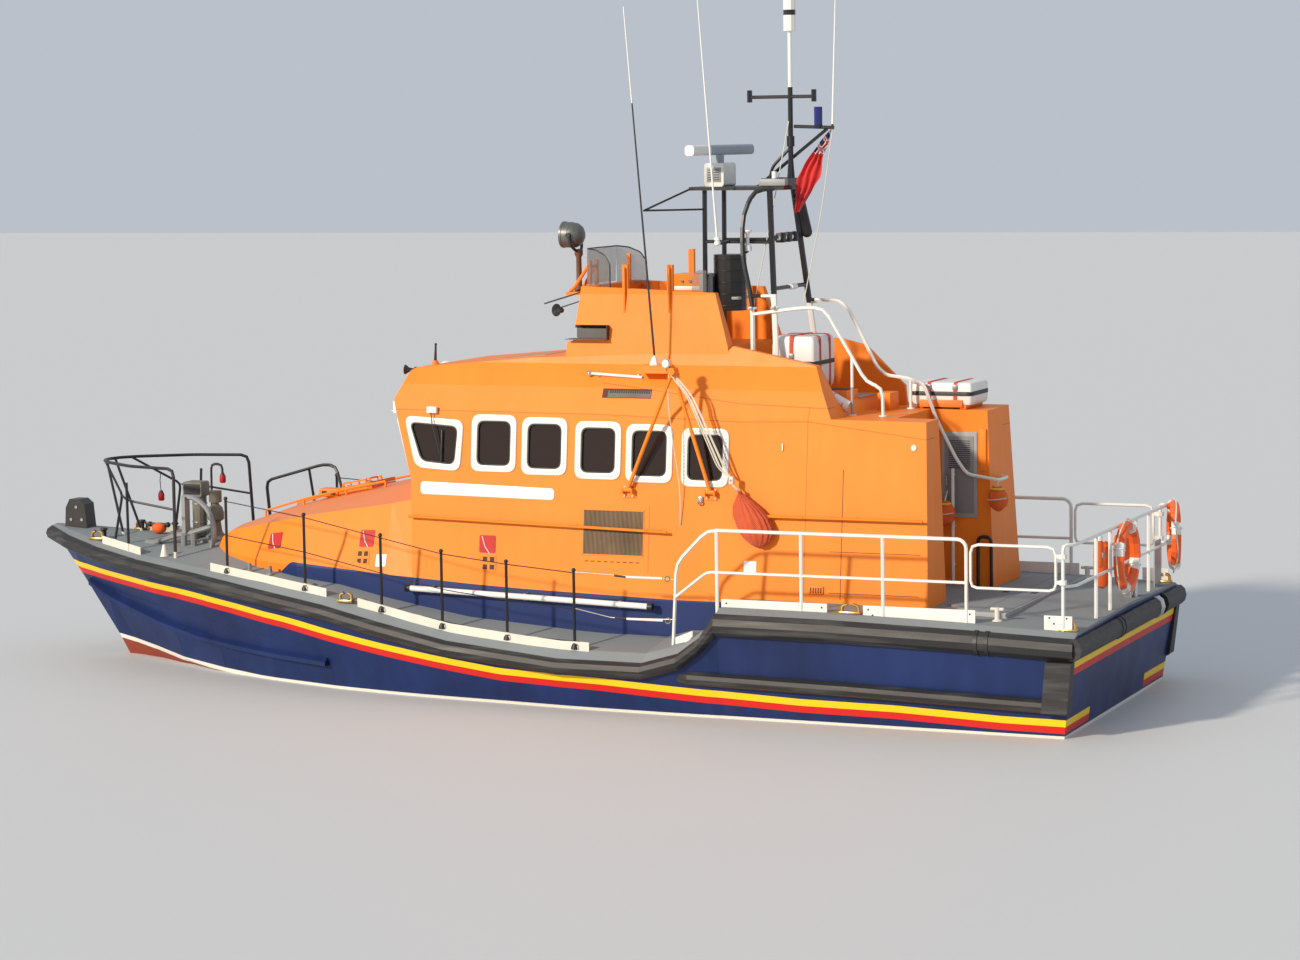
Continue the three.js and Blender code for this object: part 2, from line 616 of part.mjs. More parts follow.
// Inside the wheelhouse: floor on bearers, helm console, two rows of seats
const floorTop = 1400;
const bearers = [-870, 0, 870].map((y) => box([-4400, 1300], [y - 30, y + 30], [500, floorTop - 30]));
place('cabin_floor', cut(both(join(
  box([-4560, 1500], [-1420, 1420], [floorTop - 40, floorTop]), bearers), cavity(gap)),
deckCutter), cabinGrey);
place('helm_console', both(prism([
  [760, floorTop + gap], [720, 2150], [900, 2380], [1300, 2430], [1460, 2430], [1460, floorTop + gap],
], 'y', -1150, 1150), cavity(gap)), cabinGrey);
const seatProfile = [[-60, 20], [60, 20], [60, 380], [260, 400], [260, 480], [-180, 480],
  [-260, 1080], [-340, 1080], [-250, 400], [-60, 380]];
for (const [name, side] of portAndStarboard) {
  const rail = box([-2600, 420], [side * 560, side * 680], [floorTop + gap, floorTop + 40]);
  const seats = [150, -1000, -2150].map((x) => prism(
    seatProfile.map(([u, v]) => [x + u, floorTop + v]), 'y', side * 380, side * 860));
  place(`crew_seats_${name}`, join(rail, seats), cabinGrey);
}

// Aft door, hinged on its port edge
const hingeX = hinge.x;
const barrel = (z, length) => rod([hinge.x, hinge.y, z], [hinge.x, hinge.y, z + length], hinge.radius, 8);
place('aft_door', join(
  box([hingeX - 20, hingeX + 20], [doorSize.starboard, doorPort], [doorSize.bottom, doorSize.top]),
  hinge.heights.map((z) => join(barrel(z, 80),
    box([hingeX - 10, hingeX + 10], [doorPort - 10, hinge.y], [z + 5, z + 75]))),
  box([hingeX - 60, hingeX - 10], [-290, -250], [2180, 2210]),
  box([hingeX - 60, hingeX - 45], [-290, -160], [2175, 2215]),
), white);

// Louvre grilles in the side walls, each a plate with a row of slats
for (const [name, side] of portAndStarboard) {
  const slats = [-4, -3, -2, -1, 0, 1, 2, 3, 4].map((i) => onSide(side, sheet(roundedRect(
    46, 460, 6, [louvre.x + i * 80, upWall(louvre.z)]), 14), -1));
  place(`louvre_grille_${name}`, join(louvreSheet(side, 0, 16, -16), slats), gearGrey);
}

// Forward trunk cabin with a sloping crowned top and a hatch
const trunkRows = [
  // x, foot half, foot height, edge half, edge height, crown height
  [1200, 1440, 1350, 1170, 2260, 2500],
  [1600, 1425, 1360, 1150, 2180, 2420],
  [2850, 1270, 1400, 1010, 1980, 2150],
  [3500, 1070, 1420, 850, 1840, 1980],
  [4150, 700, 1460, 560, 1700, 1760],
  [4430, 400, 1480, 340, 1570, 1590],
];
const trunkRing = (inset) => ([x, foot, footZ, edge, edgeZ, crown]) => ringOf([
  [x - inset, 0, 500], [x - inset, foot - inset, 500], [x - inset, foot - inset, footZ],
  [x - inset, edge - inset, edgeZ - inset * 0.8],
  [x - inset, edge * 0.5, lerp(edgeZ, crown, 0.78) - inset], [x - inset, 0, crown - inset]]);
const trunkSolid = loft(trunkRows.map(trunkRing(0)));
const hatch = { x: 2620, z: 2190, half: 300, tilt: Math.atan2(270, 1250) };
function onTrunk(piece) {
  return piece.rotate([0, hatch.tilt * 180 / Math.PI, 0]).translate([hatch.x, 0, hatch.z]);
}
const hatchBox = (half, z0, z1) => onTrunk(solid(sheet(
  roundedRect(2 * half, 2 * half, 80), z1 - z0).translate(0, 0, z0)));
const houseCutter = cut(both(
  prism(outsideProfile().map(([x, z]) => [x + gap, z + gap]), 'y', -2000, 2000),
  prism(across(-gap), 'x', -6000, 3000)), quarters(-gap));
const hatchLugs = [-1, 1].map((side) => onTrunk(
  box([350, 366], [side * 150.5, side * 180], [-60, 50])));
place('trunk_cabin', cut(join(trunkSolid, hatchBox(hatch.half + 40, -120, 25), hatchLugs),
  loft(trunkRows.map(trunkRing(wallThick))), hatchBox(hatch.half, -200, 60),
  houseCutter, deckCutter), orange);
const lid = join(hatchBox(hatch.half + 40, 25 + 5, 75), [-1, 1].map((side) => onTrunk(join(
  box([-200, -180], [side * 200 - 12, side * 200 + 12], [70, 120]),
  box([120, 140], [side * 200 - 12, side * 200 + 12], [70, 120]),
  box([-200, 140], [side * 200 - 12, side * 200 + 12], [105, 125])))));
place('trunk_hatch', join(lid, onTrunk(rod([355, -150, 42], [355, 150, 42], 11, 8)),
  onTrunk(box([330, 355], [-150, 150], [36, 50]))), orange);

// Upper steering position on the roof
const flyAcross = mirrorOutline([[905, 3800], [905, 3900], [800, 4660], [800, 4900]]);
const flySide = [[-570, 3800], [-590, 4110], [-660, 4115], [-745, 4750], [-2420, 4680], [-2600, 4075],
  [-2640, 3800]];
const flyFloor = 4060;
const flyWell = both(prism([[-850, flyFloor], [-860, 5000], [-2800, 5000], [-2800, flyFloor]], 'y',
  -720, 720),
  prism(mirrorOutline([[720, 3900], [700, 5000]]), 'x', -3000, 0));
const cornerSlot = [1, -1].map((side) => box([-400, -1120], [side * 745, side * 1000], [4135, 4305]));
const flyPosts = [[-1300, 1, 5000], [-1860, 1, 5000], [-1490, -1, 5120], [-1860, -1, 5000]].map(
  ([x, side, top]) => box([x - 35, x + 35], [side * 750, side * 800], [4500, top]));
place('flybridge', join(cut(both(prism(flySide, 'y', -1000, 1000), prism(flyAcross, 'x', -3000, 0)),
  flyWell, cornerSlot, houseCutter), flyPosts,
box([-280, -800], [-220, 220], [4610, 4650])), orange);
place('flybridge_console', join(
  prism([[-1000, flyFloor + gap], [-1000, 4600], [-1250, 4640], [-1500, 4600], [-1500, flyFloor + gap]],
    'y', -600, -80),
  box([-1500, -1000], [-81, 500], [flyFloor + gap, 4500]),
  box([-1800, -1440], [-620, -300], [flyFloor + gap, 4840])), orange);
place('flybridge_screen', prism([[-830, 4746.8], [-745, 4750.3], [-668, 4750.3], [-650, 5165],
  [-662, 5165], [-680, 4762], [-830, 4758]], 'y', -420, 420), glassDark);
const lampAt = [-360, 0, 4650];
place('searchlight', join(
  turned([[0, gap], [60, gap], [60, 60], [30, 90], [30, 560], [0, 560]], lampAt, 10),
  rod([-110, 0, 5310], [-380, 0, 5310], 145, 16), rod([-360, 0, 5050], [-360, 0, 5220], 42, 8)),
gearGrey);

// Mast frame behind the upper steering position, standing on its floor and in the well
const legTop = 5860;
const topHalf = 400;
const foreLeg = { foot: [-2095, 300, flyFloor + gap], head: [-2105, 300, legTop] };
const mainLeg = { foot: [-3150, 720, wellFloor + gap], head: [-2940, topHalf - 20, legTop] };
const handed = ([x, y, z], side) => [x, side * y, z];
const alongLeg = (leg, z, side) => {
  const t = (z - leg.foot[2]) / (leg.head[2] - leg.foot[2]);
  return [lerp(leg.foot[0], leg.head[0], t), side * lerp(leg.foot[1], leg.head[1], t), z];
};
const mastSides = portAndStarboard.flatMap(([, side]) => [
  rod(handed(foreLeg.foot, side), handed(foreLeg.head, side), 28),
  rod(handed(mainLeg.foot, side), handed(mainLeg.head, side), 34),
  rod(alongLeg(foreLeg, 5250, side), alongLeg(mainLeg, 5250, side), 20),
]);
const bentTube = join(
  pipe([[-3000, 380, legTop], [-2760, 400, legTop - 20], [-2660, 520, 5560],
    [-2680, 600, 5100], [-2800, 600, 4560], [-2800, 600, wellFloor + gap]], 30, 160),
  rod([-2790, 600, 4640], alongLeg(mainLeg, 4640, 1), 20));
const crossBars = [5300, 4720].map((z) => rod(alongLeg(mainLeg, z, 1), alongLeg(mainLeg, z, -1), 24));
const signalDrum = join(rod(alongLeg(foreLeg, 4850, 1), alongLeg(foreLeg, 4850, -1), 20),
  rod([-2290, 0, 4440], [-2290, 0, 5090], 190, 16));
const topPlate = join(box([-3120, -1950], [-topHalf, topHalf], [legTop - 20, legTop + 20]),
  box([-3100, -2760], [-180, 180], [legTop, legTop + 110]));
const whip = (from, to) => rod(from, to, 14, 5, 7);
const whipClamp = [-1672, 1085, 5630];
const whipBars = [rod([-1960, topHalf - 30, legTop], whipClamp, 12, 5),
  rod(alongLeg(foreLeg, 5620, 1), whipClamp, 12, 5)];
const yard = (grow) => rod([-3105, 0, 6560], [-3590, 0, 6540], 20 + grow);
const aerialArm = join(rod([-2590, -120, legTop], [-3505, 0, 6525], 20), yard(0),
  rod([-3400, 0, 6540], [-3400, 0, 6780], 50, 8));
// The stairs' handrails run aft from the legs, over the after roof and into the alcove
const roofAft = 3290 + 8;
const stairRails = [
  pipe([[-2800, 600, 4430], [-3440, 650, 4515], [-3690, 650, 4510], [-4190, 660, 3680],
    [-4390, 680, 3620], [-4400, 690, roofAft]], 21, 120),
  pipe([alongLeg(mainLeg, 4540, -1), [-3440, -550, 4530], [-3560, -550, 4420], [-3900, -550, 3760],
    [-4010, -540, 3670], [-4350, -345, 3650], [-4535, -345, 3590], [-4690, -345, 3180],
    [-4920, -345, 2740], [-5050, -345, 2560], [-5430, -345, 2500], [-5430, -700, 2500],
    [-5330, -760, 2500]], 21, 60),
];
place('mast_frame', cut(join(topPlate, mastSides, bentTube, crossBars, signalDrum, whipBars,
  aerialArm, stairRails, whip([-2420, 700, 5230], [-2210, 700, 8010]),
  rod([-2420, 355, 5250], [-2420, 715, 5240], 20), whip([-3570, 0, 6540], [-3620, 0, 8010])),
box([-2645, -2000], [-720, 720], [3950, flyFloor + gap]),
box([-4000, -2655], [-790, 790], [3300, wellFloor + gap])), black);
place('mast_pole', join(
  turned([[0, 0], [45, 0], [30, 200], [28, 1040], [24, 1050], [24, 1670], [70, 1680], [70, 2100],
    [50, 2120], [0, 2120]], [-3060, 0, legTop + 110 + gap], 10),
  rod([-2560, 0, 6900], [-3350, 0, 6900], 20), rod([-2560, 0, 6840], [-2560, 0, 6980], 30),
  rod([-3350, 0, 6840], [-3350, 0, 6980], 30)), black);
// The ensign hangs from the tip of the aerial arm, its lower corner swung forward
const ensignRows = [
  // height, aft edge, forward edge, how far it swings out to port
  [6545, -3580, -3555, 0], [6490, -3565, -3520, 4], [6400, -3545, -3440, 10], [6261, -3490, -3330, 30],
  [5976, -3450, -3160, 70], [5760, -3300, -3135, 95], [5580, -3200, -3140, 110],
];
place('ensign', cut(loft(ensignRows.map(([z, aft, fore, out]) => {
  const folds = [0, 1, 2, 3, 4].map((i) => [lerp(aft, fore, i / 4), out + (i % 2 ? 14 : -14)]);
  const back = folds.map(([x, y]) => [x, y + 10]).reverse();
  return [...folds, ...back].map(([x, y]) => [z, x, y]);
})).transform([0, 0, 1, 0, 1, 0, 0, 0, 0, 1, 0, 0, 0, 0, 0, 1]), yard(gap)), orange);
place('radar_pedestal', prism(roundedRect(240, 270 - gap, 30, [-2180, legTop + 155 + gap / 2]), 'y',
  -195, 195), white);
const radarZ = legTop + 290 + gap;
const scanner = new THREE.Group();
scanner.position.set(-2180, 0, radarZ);
scanner.rotation.z = -13 * Math.PI / 180;
boat.add(scanner);
place('radar_scanner', join(
  turned([[0, 0], [50, 0], [50, 100], [0, 100]], [0, 0, 0], 10),
  prism(roundedRect(130, 120, 40, [0, 150]), 'y', -610, 610),
), white, scanner);
place('whip_aerial_port', cut(join(
  prism([[-1600, 3780], [-1980, 3780], [-1940, 3870], [-1640, 3870]], 'y', 900, 1190),
  rod([-1790, 1110, 3860], [-1790, 1110, 3960], 70, 8, 30),
  whip([-1790, 1110, 3950], [-1470, 1110, 7940])), houseCutter), black);

// Recovery frame on the port side, hinged at its two feet
place('davit_frame', join(
  davit.feet.map((x) => rod([x, davit.y, davit.z], davit.apex, 22, 8)),
  davit.feet.map((x) => rod([x - 49.5, davit.y, davit.z], [x + 49.5, davit.y, davit.z], 26, 8)),
  rod([-2160, 1380, 3830], [-2160, 1520, 3830], 45, 8)), orange);

const afterRoof = (x) => lerp(3300, 3290, (-3970 - x) / 1310) + gap;

// Life raft canisters and the cradle of the after one
function canister([x0, x1], [y0, y1], [z0, z1]) {
  const middle = [(x0 + x1) / 2, (z0 + z1) / 2];
  const size = [Math.abs(x1 - x0), z1 - z0];
  return join(prism(roundedRect(size[0] - 24, size[1], 90, middle), 'y', y0, y1),
    box([x0, x1], [y0 - 12, y1 + 12], [middle[1] - 22, middle[1] + 22]));
}
place('liferaft_forward', join(canister([-3500, -3034], [-140, 545], [3560, 4130]),
  box([-3460, -3400], [-100, 505], [wellFloor + gap, 3620]),
  box([-3130, -3070], [-100, 505], [wellFloor + gap, 3620])), white);
place('liferaft_aft', join(canister([-5080, -4340], [-1100, -450], [3345, 3600]),
  box([-5010, -4930], [-1080, -470], [afterRoof(-4930), 3420]),
  box([-4490, -4410], [-1080, -470], [afterRoof(-4410), 3420])), white);

// Stanchions, wires and toe boards along the low side decks
const stanchions = [3730, 2500, 1385, 555, -305, -1175];
const railHeight = 890;
const edgeY = (x) => lineAt(x, deckHalf) - rimWidth - 5;
const standOn = (x, y) => deckZ(x, y);
// A toe board along the deck edge, in straight lengths
const toeBoard = (side, from, to, count, inboard = 0) => Array.from({ length: count }, (_, i) => {
  const [a, b] = [lerp(from, to, i / count), lerp(from, to, (i + 1) / count)];
  return loft([a, b].map((x) => {
    const [y, z] = [side * (edgeY(x) + 24 - inboard), standOn(x, edgeY(x))];
    return [[x, y - side * 14, z - 60], [x, y, z - 60], [x, y, z + 90], [x, y - side * 14, z + 90]];
  }));
});
for (const [name, side] of portAndStarboard) {
  const posts = stanchions.map((x) => {
    const y = side * edgeY(x);
    return rod([x, y, standOn(x, y) - 60], [x, y, standOn(x, y) + railHeight], 17);
  });
  const wires = [0.52, 0.985].flatMap((share) => stanchions.slice(1).map((x, i) => {
    const fore = stanchions[i];
    const at = (s) => [s, side * edgeY(s), standOn(s, edgeY(s)) + railHeight * share];
    return rod(at(fore), at(x), 6, 4);
  }));
  place(`lifeline_${name}`, cut(join(posts, wires, toeBoard(side, 4000, 2170, 3),
    toeBoard(side, 1720, -1360, 4)), deckCutter), black);
}

// White rails round the raised aft deck, with a gate on each side
const aftTop = 2110;
const aftY = 2030;
const gatePost = -6880;
for (const [name, side] of portAndStarboard) {
  const y = side * aftY;
  const foot = (x) => rod([x, y, deckZ(x, y) - 60], [x, y, aftTop], tubeRadius);
  const rail = pipe([[-2330, side * 1990, 560], [-2400, side * 2000, 1720], [-2790, y, aftTop],
    [-5740, y, aftTop], [-5800, y, aftTop - 60], [-5800, y, 1100]], tubeRadius, 110);
  const mid = pipe([[-2385, side * 1998, 1340], [-2780, y, 1640], [-5800, y, 1640]], 17, 60);
  const posts = [-2900, -3900, -4850].map(foot);
  const boards = [[-2950, -4200], [-4620, -5900]].map(([fore, aft]) => box(
    [fore, aft], [side * (aftY - 7), side * (aftY + 7)], [1100, 1345]));
  const inboard = lineAt(-2400, deckHalf) - rimWidth + 19 - 1990;
  place(`aft_rail_${name}`, cut(join(rail, mid, posts, boards,
    toeBoard(side, -2330, -2580, 1, inboard)), deckCutter), white);
  const loop = join(
    pipe([[-5850, y, 1740], [-5850, y, 2060], [-6800, y, 2060], [-6800, y, 1740]], 17, 90),
    pipe([[-5850, y, 1750], [-5850, y, 1590], [-6800, y, 1590], [-6800, y, 1750]], 16, 90));
  const eyes = [1660, 1940].map((z) => join(rod([gatePost, y, z], [gatePost, y, z + 50], 44, 8),
    box([gatePost + 32, -6795], [y - 8, y + 8], [z + 5, z + 45])));
  place(`rail_gate_${name}`, cut(join(loop, eyes), rod([gatePost, y, 1500], [gatePost, y, 2200],
    tubeRadius + 1, 12)), white);
}
const sternX = -6985;
place('stern_rail', cut(join(
  pipe([[gatePost, aftY, 1100], [gatePost, aftY, 2085], [sternX, 1900, 2085],
    [sternX, -1900, 2085], [gatePost, -aftY, 2085], [gatePost, -aftY, 1100]], tubeRadius, 50),
  pipe([[gatePost, aftY, 1640], [sternX, 1880, 1640], [sternX, -1880, 1640],
    [gatePost, -aftY, 1640]], 17, 50),
  [1110, 540, -540, -1110].map((y) => rod([sternX, y, 1080], [sternX, y, 2085], tubeRadius)),
  portAndStarboard.map(([, side]) => box(
    [-6670, -6980], [side * (aftY - 7), side * (aftY + 7)], [1100, 1325])),
), deckCutter), white);
const ringRadius = 350;
for (const [name, x, y, turn, hook] of [
  ['port', sternX - 90, 160, 0, 70], ['starboard', -7070, -1930, 19.5, 78]]) {
  const buoy = new THREE.Group();
  buoy.position.set(x, y, 1735);
  buoy.rotation.z = turn * Math.PI / 180;
  boat.add(buoy);
  const torus = new THREE.TorusGeometry(ringRadius, 62, 6, 16);
  torus.rotateY(Math.PI / 2);
  place(`lifebuoy_${name}`, join(solid(torus),
    box([20, hook], [-40, 40], [ringRadius - 40, ringRadius + 22])), orange, buoy);
}

// Bow rail
const bowTop = 2480;
const bowPoints = [[6200, 170], [6060, 360], [5450, 760], [4740, 920]];
place('bow_rail', cut(join(
  portAndStarboard.flatMap(([, side]) => {
    const foot = (x, y) => [x, side * y, deckZ(x, y) - 40];
    return [
      pipe([[6230, 0, bowTop], ...bowPoints.map(([x, y]) => [x, side * y, bowTop]),
        foot(4710, 980)], tubeRadius, 100),
      pipe([[6100, side * 303, bowTop], [5620, side * 700, 2110], foot(5750, 730)], 17, 60),
      rod(foot(5450, 860), [5430, side * 900, 2290], 17),
      pipe([[5610, side * 706, 2100], [5430, side * 895, 2070], [4726, side * 948, 1980]], 15),
      rod([6212, side * 100, bowTop], foot(5910, 220), 17),
      toeBoard(side, 5960, 5220, 2),
    ].flat();
  }),
  pipe([[5290, -900, deckZ(5290, -900) - 40], [5280, -900, 2350], [5118, -900, 2350],
    [5115, -900, 2160]], 17, 60),
), deckCutter), black);

// Guard rail beside the trunk hatch
place('trunk_rail', cut(join(
  pipe([[4560, -1180, 1300], [4600, -1120, 2130], [3730, -1060, 2370], [3520, -1000, 2360],
    [3330, -960, 1750]], tubeRadius, 90),
  rod([3950, -1080, 2300], [3850, -1180, 1300], 17)),
deckCutter, trunkSolid.translate([0, 0, gap]), trunkSolid), black);

// Deck gear forward: roller block, windlass, capstan drum, anchor, mooring posts
const bowDeck = (x) => deckZ(x, 0);
place('bow_roller', cut(join(prism([[6520, 1500], [6560, 1900], [6640, 1960], [6780, 1960],
  [6840, 1850], [6860, 1500]], 'y', -110, 110)), deckCutter), black);
const windlassAt = [5060, 0];
place('windlass', cut(join(
  box([4880, 5260], [-190, 190], [bowDeck(5060) - 80, bowDeck(5060) + 60]),
  rod([4930, 0, bowDeck(4930)], [4930, 0, 2045], 90, 12),
  prism(roundedRect(270, 190, 30, [4975, 2135]), 'y', -100, 100)), deckCutter), gearGrey);
const capstanAt = [4700, 0];
const capstanBase = bowDeck(4700) + 20;
place('capstan_drum', turned([[0, gap], [110, gap], [80, 40], [60, 170], [105, 200], [105, 280],
  [85, 350], [45, 385], [45, 410], [80, 415], [80, 560], [0, 560]], [...capstanAt, capstanBase], 12),
gearGrey);
const anchorY = 450;
place('anchor', cut(join(
  pipe([[4900, anchorY, 2080], [4740, anchorY, 2080], [4560, anchorY, 1960], [4475, anchorY, 1790],
    [4460, anchorY, 1600], [4520, anchorY, 1440]], 33, 100, 8),
  box([4840, 4890], [anchorY - 60, anchorY + 60], [1630, 2090]),
  pipe([[5450, anchorY, 1500], [5330, anchorY, 1490], [4990, anchorY, 1600], [4810, anchorY, 1630],
    [4490, anchorY, 1730]], 33, 80, 8),
  [4900, 4760].map((x) => rod([x, anchorY, 1400], [x, anchorY, 1630], 40, 8))), deckCutter), gearGrey);
place('capstan_base', cut(join(rod([...capstanAt, 1400], [...capstanAt, capstanBase], 130, 12),
  box([4560, 4760], [-300, 300], [1300, bowDeck(4700) - 10])), deckCutter), gearGrey);

// Under water: shafts with brackets, propellers, rudders
const shaft = { y: 1000, fore: [-2900, -560], aft: [-5270, -860] };
const shaftTilt = Math.atan2(shaft.fore[1] - shaft.aft[1], shaft.fore[0] - shaft.aft[0]);
const bladeOutline = [[40, -50], [120, -95], [230, -110], [310, -70], [340, 0], [310, 70], [230, 105],
  [120, 85], [40, 50]];
for (const [name, side] of portAndStarboard) {
  const y = side * shaft.y;
  place(`shaft_${name}`, cut(join(
    rod([shaft.fore[0], y, shaft.fore[1]], [shaft.aft[0], y, shaft.aft[1]], 35, 8),
    rod([-4950, y, shaft.aft[1] + 40.5], [-5200, y, shaft.aft[1] + 8.9], 60, 8),
    box([-5160, -5000], [y - 18, y + 18], [-860, -200])), hullCutter), steel);
  const screw = new THREE.Group();
  screw.position.set(shaft.aft[0], y, shaft.aft[1]);
  screw.rotation.y = -shaftTilt;
  boat.add(screw);
  const blades = [0, 1, 2, 3].map((i) => {
    const blade = sheet(outline(bladeOutline), 14);
    blade.translate(0, 0, -7);
    blade.rotateX(side * 55 * Math.PI / 180);
    blade.rotateZ(Math.PI / 2);
    blade.rotateX(i * Math.PI / 2);
    blade.translate(-90, 0, 0);
    return solid(blade);
  });
  place(`propeller_${name}`, join(rod([-gap, 0, 0], [-180, 0, 0], 62, 10, 40), blades), bronze, screw);
  place(`rudder_${name}`, join(
    rod([rudder.x, y, rudder.boss - gap], [rudder.x, y, -640], 34, 8),
    prism([[-5760, -600], [-6140, -600], [-6120, -1190], [-5800, -1190]], 'y', y - 24, y + 24)), navy);
}

export default boat;
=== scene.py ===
# Looks of an all-weather lifeboat afloat. Metres, +X to the bow, +Y to port, +Z up, water at z = 0.
import math
import bmesh
import bpy
from mathutils import Matrix, Vector
from mathutils.bvhtree import BVHTree


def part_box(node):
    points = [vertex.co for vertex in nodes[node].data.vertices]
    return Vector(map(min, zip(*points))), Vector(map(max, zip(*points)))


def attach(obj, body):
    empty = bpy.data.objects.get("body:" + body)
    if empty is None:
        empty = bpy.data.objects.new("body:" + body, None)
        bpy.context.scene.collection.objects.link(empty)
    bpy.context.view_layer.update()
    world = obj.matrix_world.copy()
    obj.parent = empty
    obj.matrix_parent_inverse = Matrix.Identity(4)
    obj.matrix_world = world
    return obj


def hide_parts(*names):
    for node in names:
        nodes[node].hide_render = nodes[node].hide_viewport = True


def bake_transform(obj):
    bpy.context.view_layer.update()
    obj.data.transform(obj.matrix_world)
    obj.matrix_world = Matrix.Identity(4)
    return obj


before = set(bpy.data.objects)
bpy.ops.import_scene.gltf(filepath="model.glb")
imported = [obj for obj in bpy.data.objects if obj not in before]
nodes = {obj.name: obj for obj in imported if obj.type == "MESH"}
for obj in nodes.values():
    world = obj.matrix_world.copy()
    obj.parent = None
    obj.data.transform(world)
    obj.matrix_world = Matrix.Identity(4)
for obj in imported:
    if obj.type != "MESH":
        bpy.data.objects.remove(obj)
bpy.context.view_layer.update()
scene = bpy.context.scene


# Shader maths written as plain expressions
class Wire:
    def __init__(self, finish, socket):
        self.finish = finish
        self.socket = socket

    def maths(self, operation, other, swapped=False):
        pair = (other, self) if swapped else (self, other)
        return self.finish.node("ShaderNodeMath", {"operation": operation}, {0: pair[0], 1: pair[1]})

    def __add__(self, other):
        return self.maths("ADD", other)

    def __radd__(self, other):
        return self.maths("ADD", other, True)

    def __sub__(self, other):
        return self.maths("SUBTRACT", other)

    def __rsub__(self, other):
        return self.maths("SUBTRACT", other, True)

    def __mul__(self, other):
        return self.maths("MULTIPLY", other)

    def __rmul__(self, other):
        return self.maths("MULTIPLY", other, True)

    def __truediv__(self, other):
        return self.maths("DIVIDE", other)

    def __gt__(self, other):
        return self.maths("GREATER_THAN", other)

    def __lt__(self, other):
        return self.maths("LESS_THAN", other)

    def __abs__(self):
        return self.maths("ABSOLUTE", 0.0)

    def fraction(self):
        return self.maths("FRACT", 0.0)


class Finish:
    def __init__(self, name, color, roughness=0.5, metallic=0.0, **shader):
        self.material = bpy.data.materials.new(name)
        self.material.use_nodes = True
        self.tree = self.material.node_tree
        self.shader = self.tree.nodes["Principled BSDF"]
        self.coordinates = None
        self.feed("Base Color", (*color, 1.0))
        self.feed("Roughness", roughness)
        self.feed("Metallic", metallic)
        for socket, value in shader.items():
            self.feed(socket.replace("_", " "), value)

    def join(self, socket, value):
        if isinstance(value, Wire):
            self.tree.links.new(value.socket, socket)
        else:
            socket.default_value = value

    def feed(self, name, value):
        self.join(self.shader.inputs[name], value)

    def node(self, kind, settings=None, inputs=None, output=0):
        made = self.tree.nodes.new(kind)
        for key, value in (settings or {}).items():
            if key == "curve":
                line = made.mapping.curves[0]
                while len(line.points) < len(value):
                    line.points.new(0.5, 0.5)
                for point, (across, up) in zip(line.points, value):
                    point.location = (across, up)
                    point.handle_type = "VECTOR"
                made.mapping.update()
            else:
                setattr(made, key, value)
        for key, value in (inputs or {}).items():
            self.join(made.inputs[key], value)
        return Wire(self, made.outputs[output])

    def spot(self):
        if not self.coordinates:
            self.coordinates = self.node("ShaderNodeTexCoord", output="Object")
        return self.coordinates

    def axes(self):
        return [self.node("ShaderNodeSeparateXYZ", {}, {0: self.spot()}, i) for i in range(3)]

    def facing(self, axis):
        # one axis of the outward direction of the surface
        normal = self.node("ShaderNodeNewGeometry", output="Normal")
        return self.node("ShaderNodeSeparateXYZ", {}, {0: normal}, axis)

    def noise(self, scale, detail=3.0, stretch=(1, 1, 1)):
        where = self.node("ShaderNodeVectorMath", {"operation": "MULTIPLY"}, {0: self.spot(), 1: stretch})
        return self.node("ShaderNodeTexNoise", {}, {"Vector": where, "Scale": scale, "Detail": detail},
                         "Fac")

    def blend(self, share, first, second):
        # colours are wires, or tuples of red, green and blue
        first, second = [(*tone, 1.0) if isinstance(tone, tuple) else tone for tone in (first, second)]
        return self.node("ShaderNodeMix", {"data_type": "RGBA"}, {0: share, 6: first, 7: second}, 2)

    def patchy(self, scale, depth, least):
        self.feed("Roughness", self.noise(scale) * depth + least)

    def along(self, value, points):
        # a height that follows a line of (place, height) points
        places = [p for p, _ in points]
        heights = [h for _, h in points]
        low, span = places[0], places[-1] - places[0]
        floor, rise = min(heights), max(heights) - min(heights)
        scaled = [((p - low) / span, (h - floor) / rise) for p, h in points]
        share = (value - low) / span
        return self.node("ShaderNodeFloatCurve", {"curve": scaled}, {"Value": share}) * rise + floor

    def bump(self, height, distance, strength=0.5):
        self.feed("Normal", self.node("ShaderNodeBump", {}, {
            "Height": height, "Distance": distance, "Strength": strength}))

    def weathered(self, color, scale=1.5, depth=0.12):
        # slow change of tone over the surface, with faint downward streaks
        darker = tuple(c * (1 - 2.2 * depth) for c in color)
        lighter = tuple(min(c * (1 + depth), 1.0) for c in color)
        cloud = self.noise(scale, 4.0)
        streak = self.noise(6.0, 3.0, (1, 1, 0.12))
        share = (cloud * 0.65 + streak * 0.35 - 0.3) * 2.2
        return self.blend(share, darker, lighter)


# Camera as the photograph was taken, a little aft of the beam
photoView = {"lens": 93.53, "place": (-16.9117, 36.5565, 6.6462), "turn": 0.4051, "dip": 0.1059,
             "roll": -0.0149}


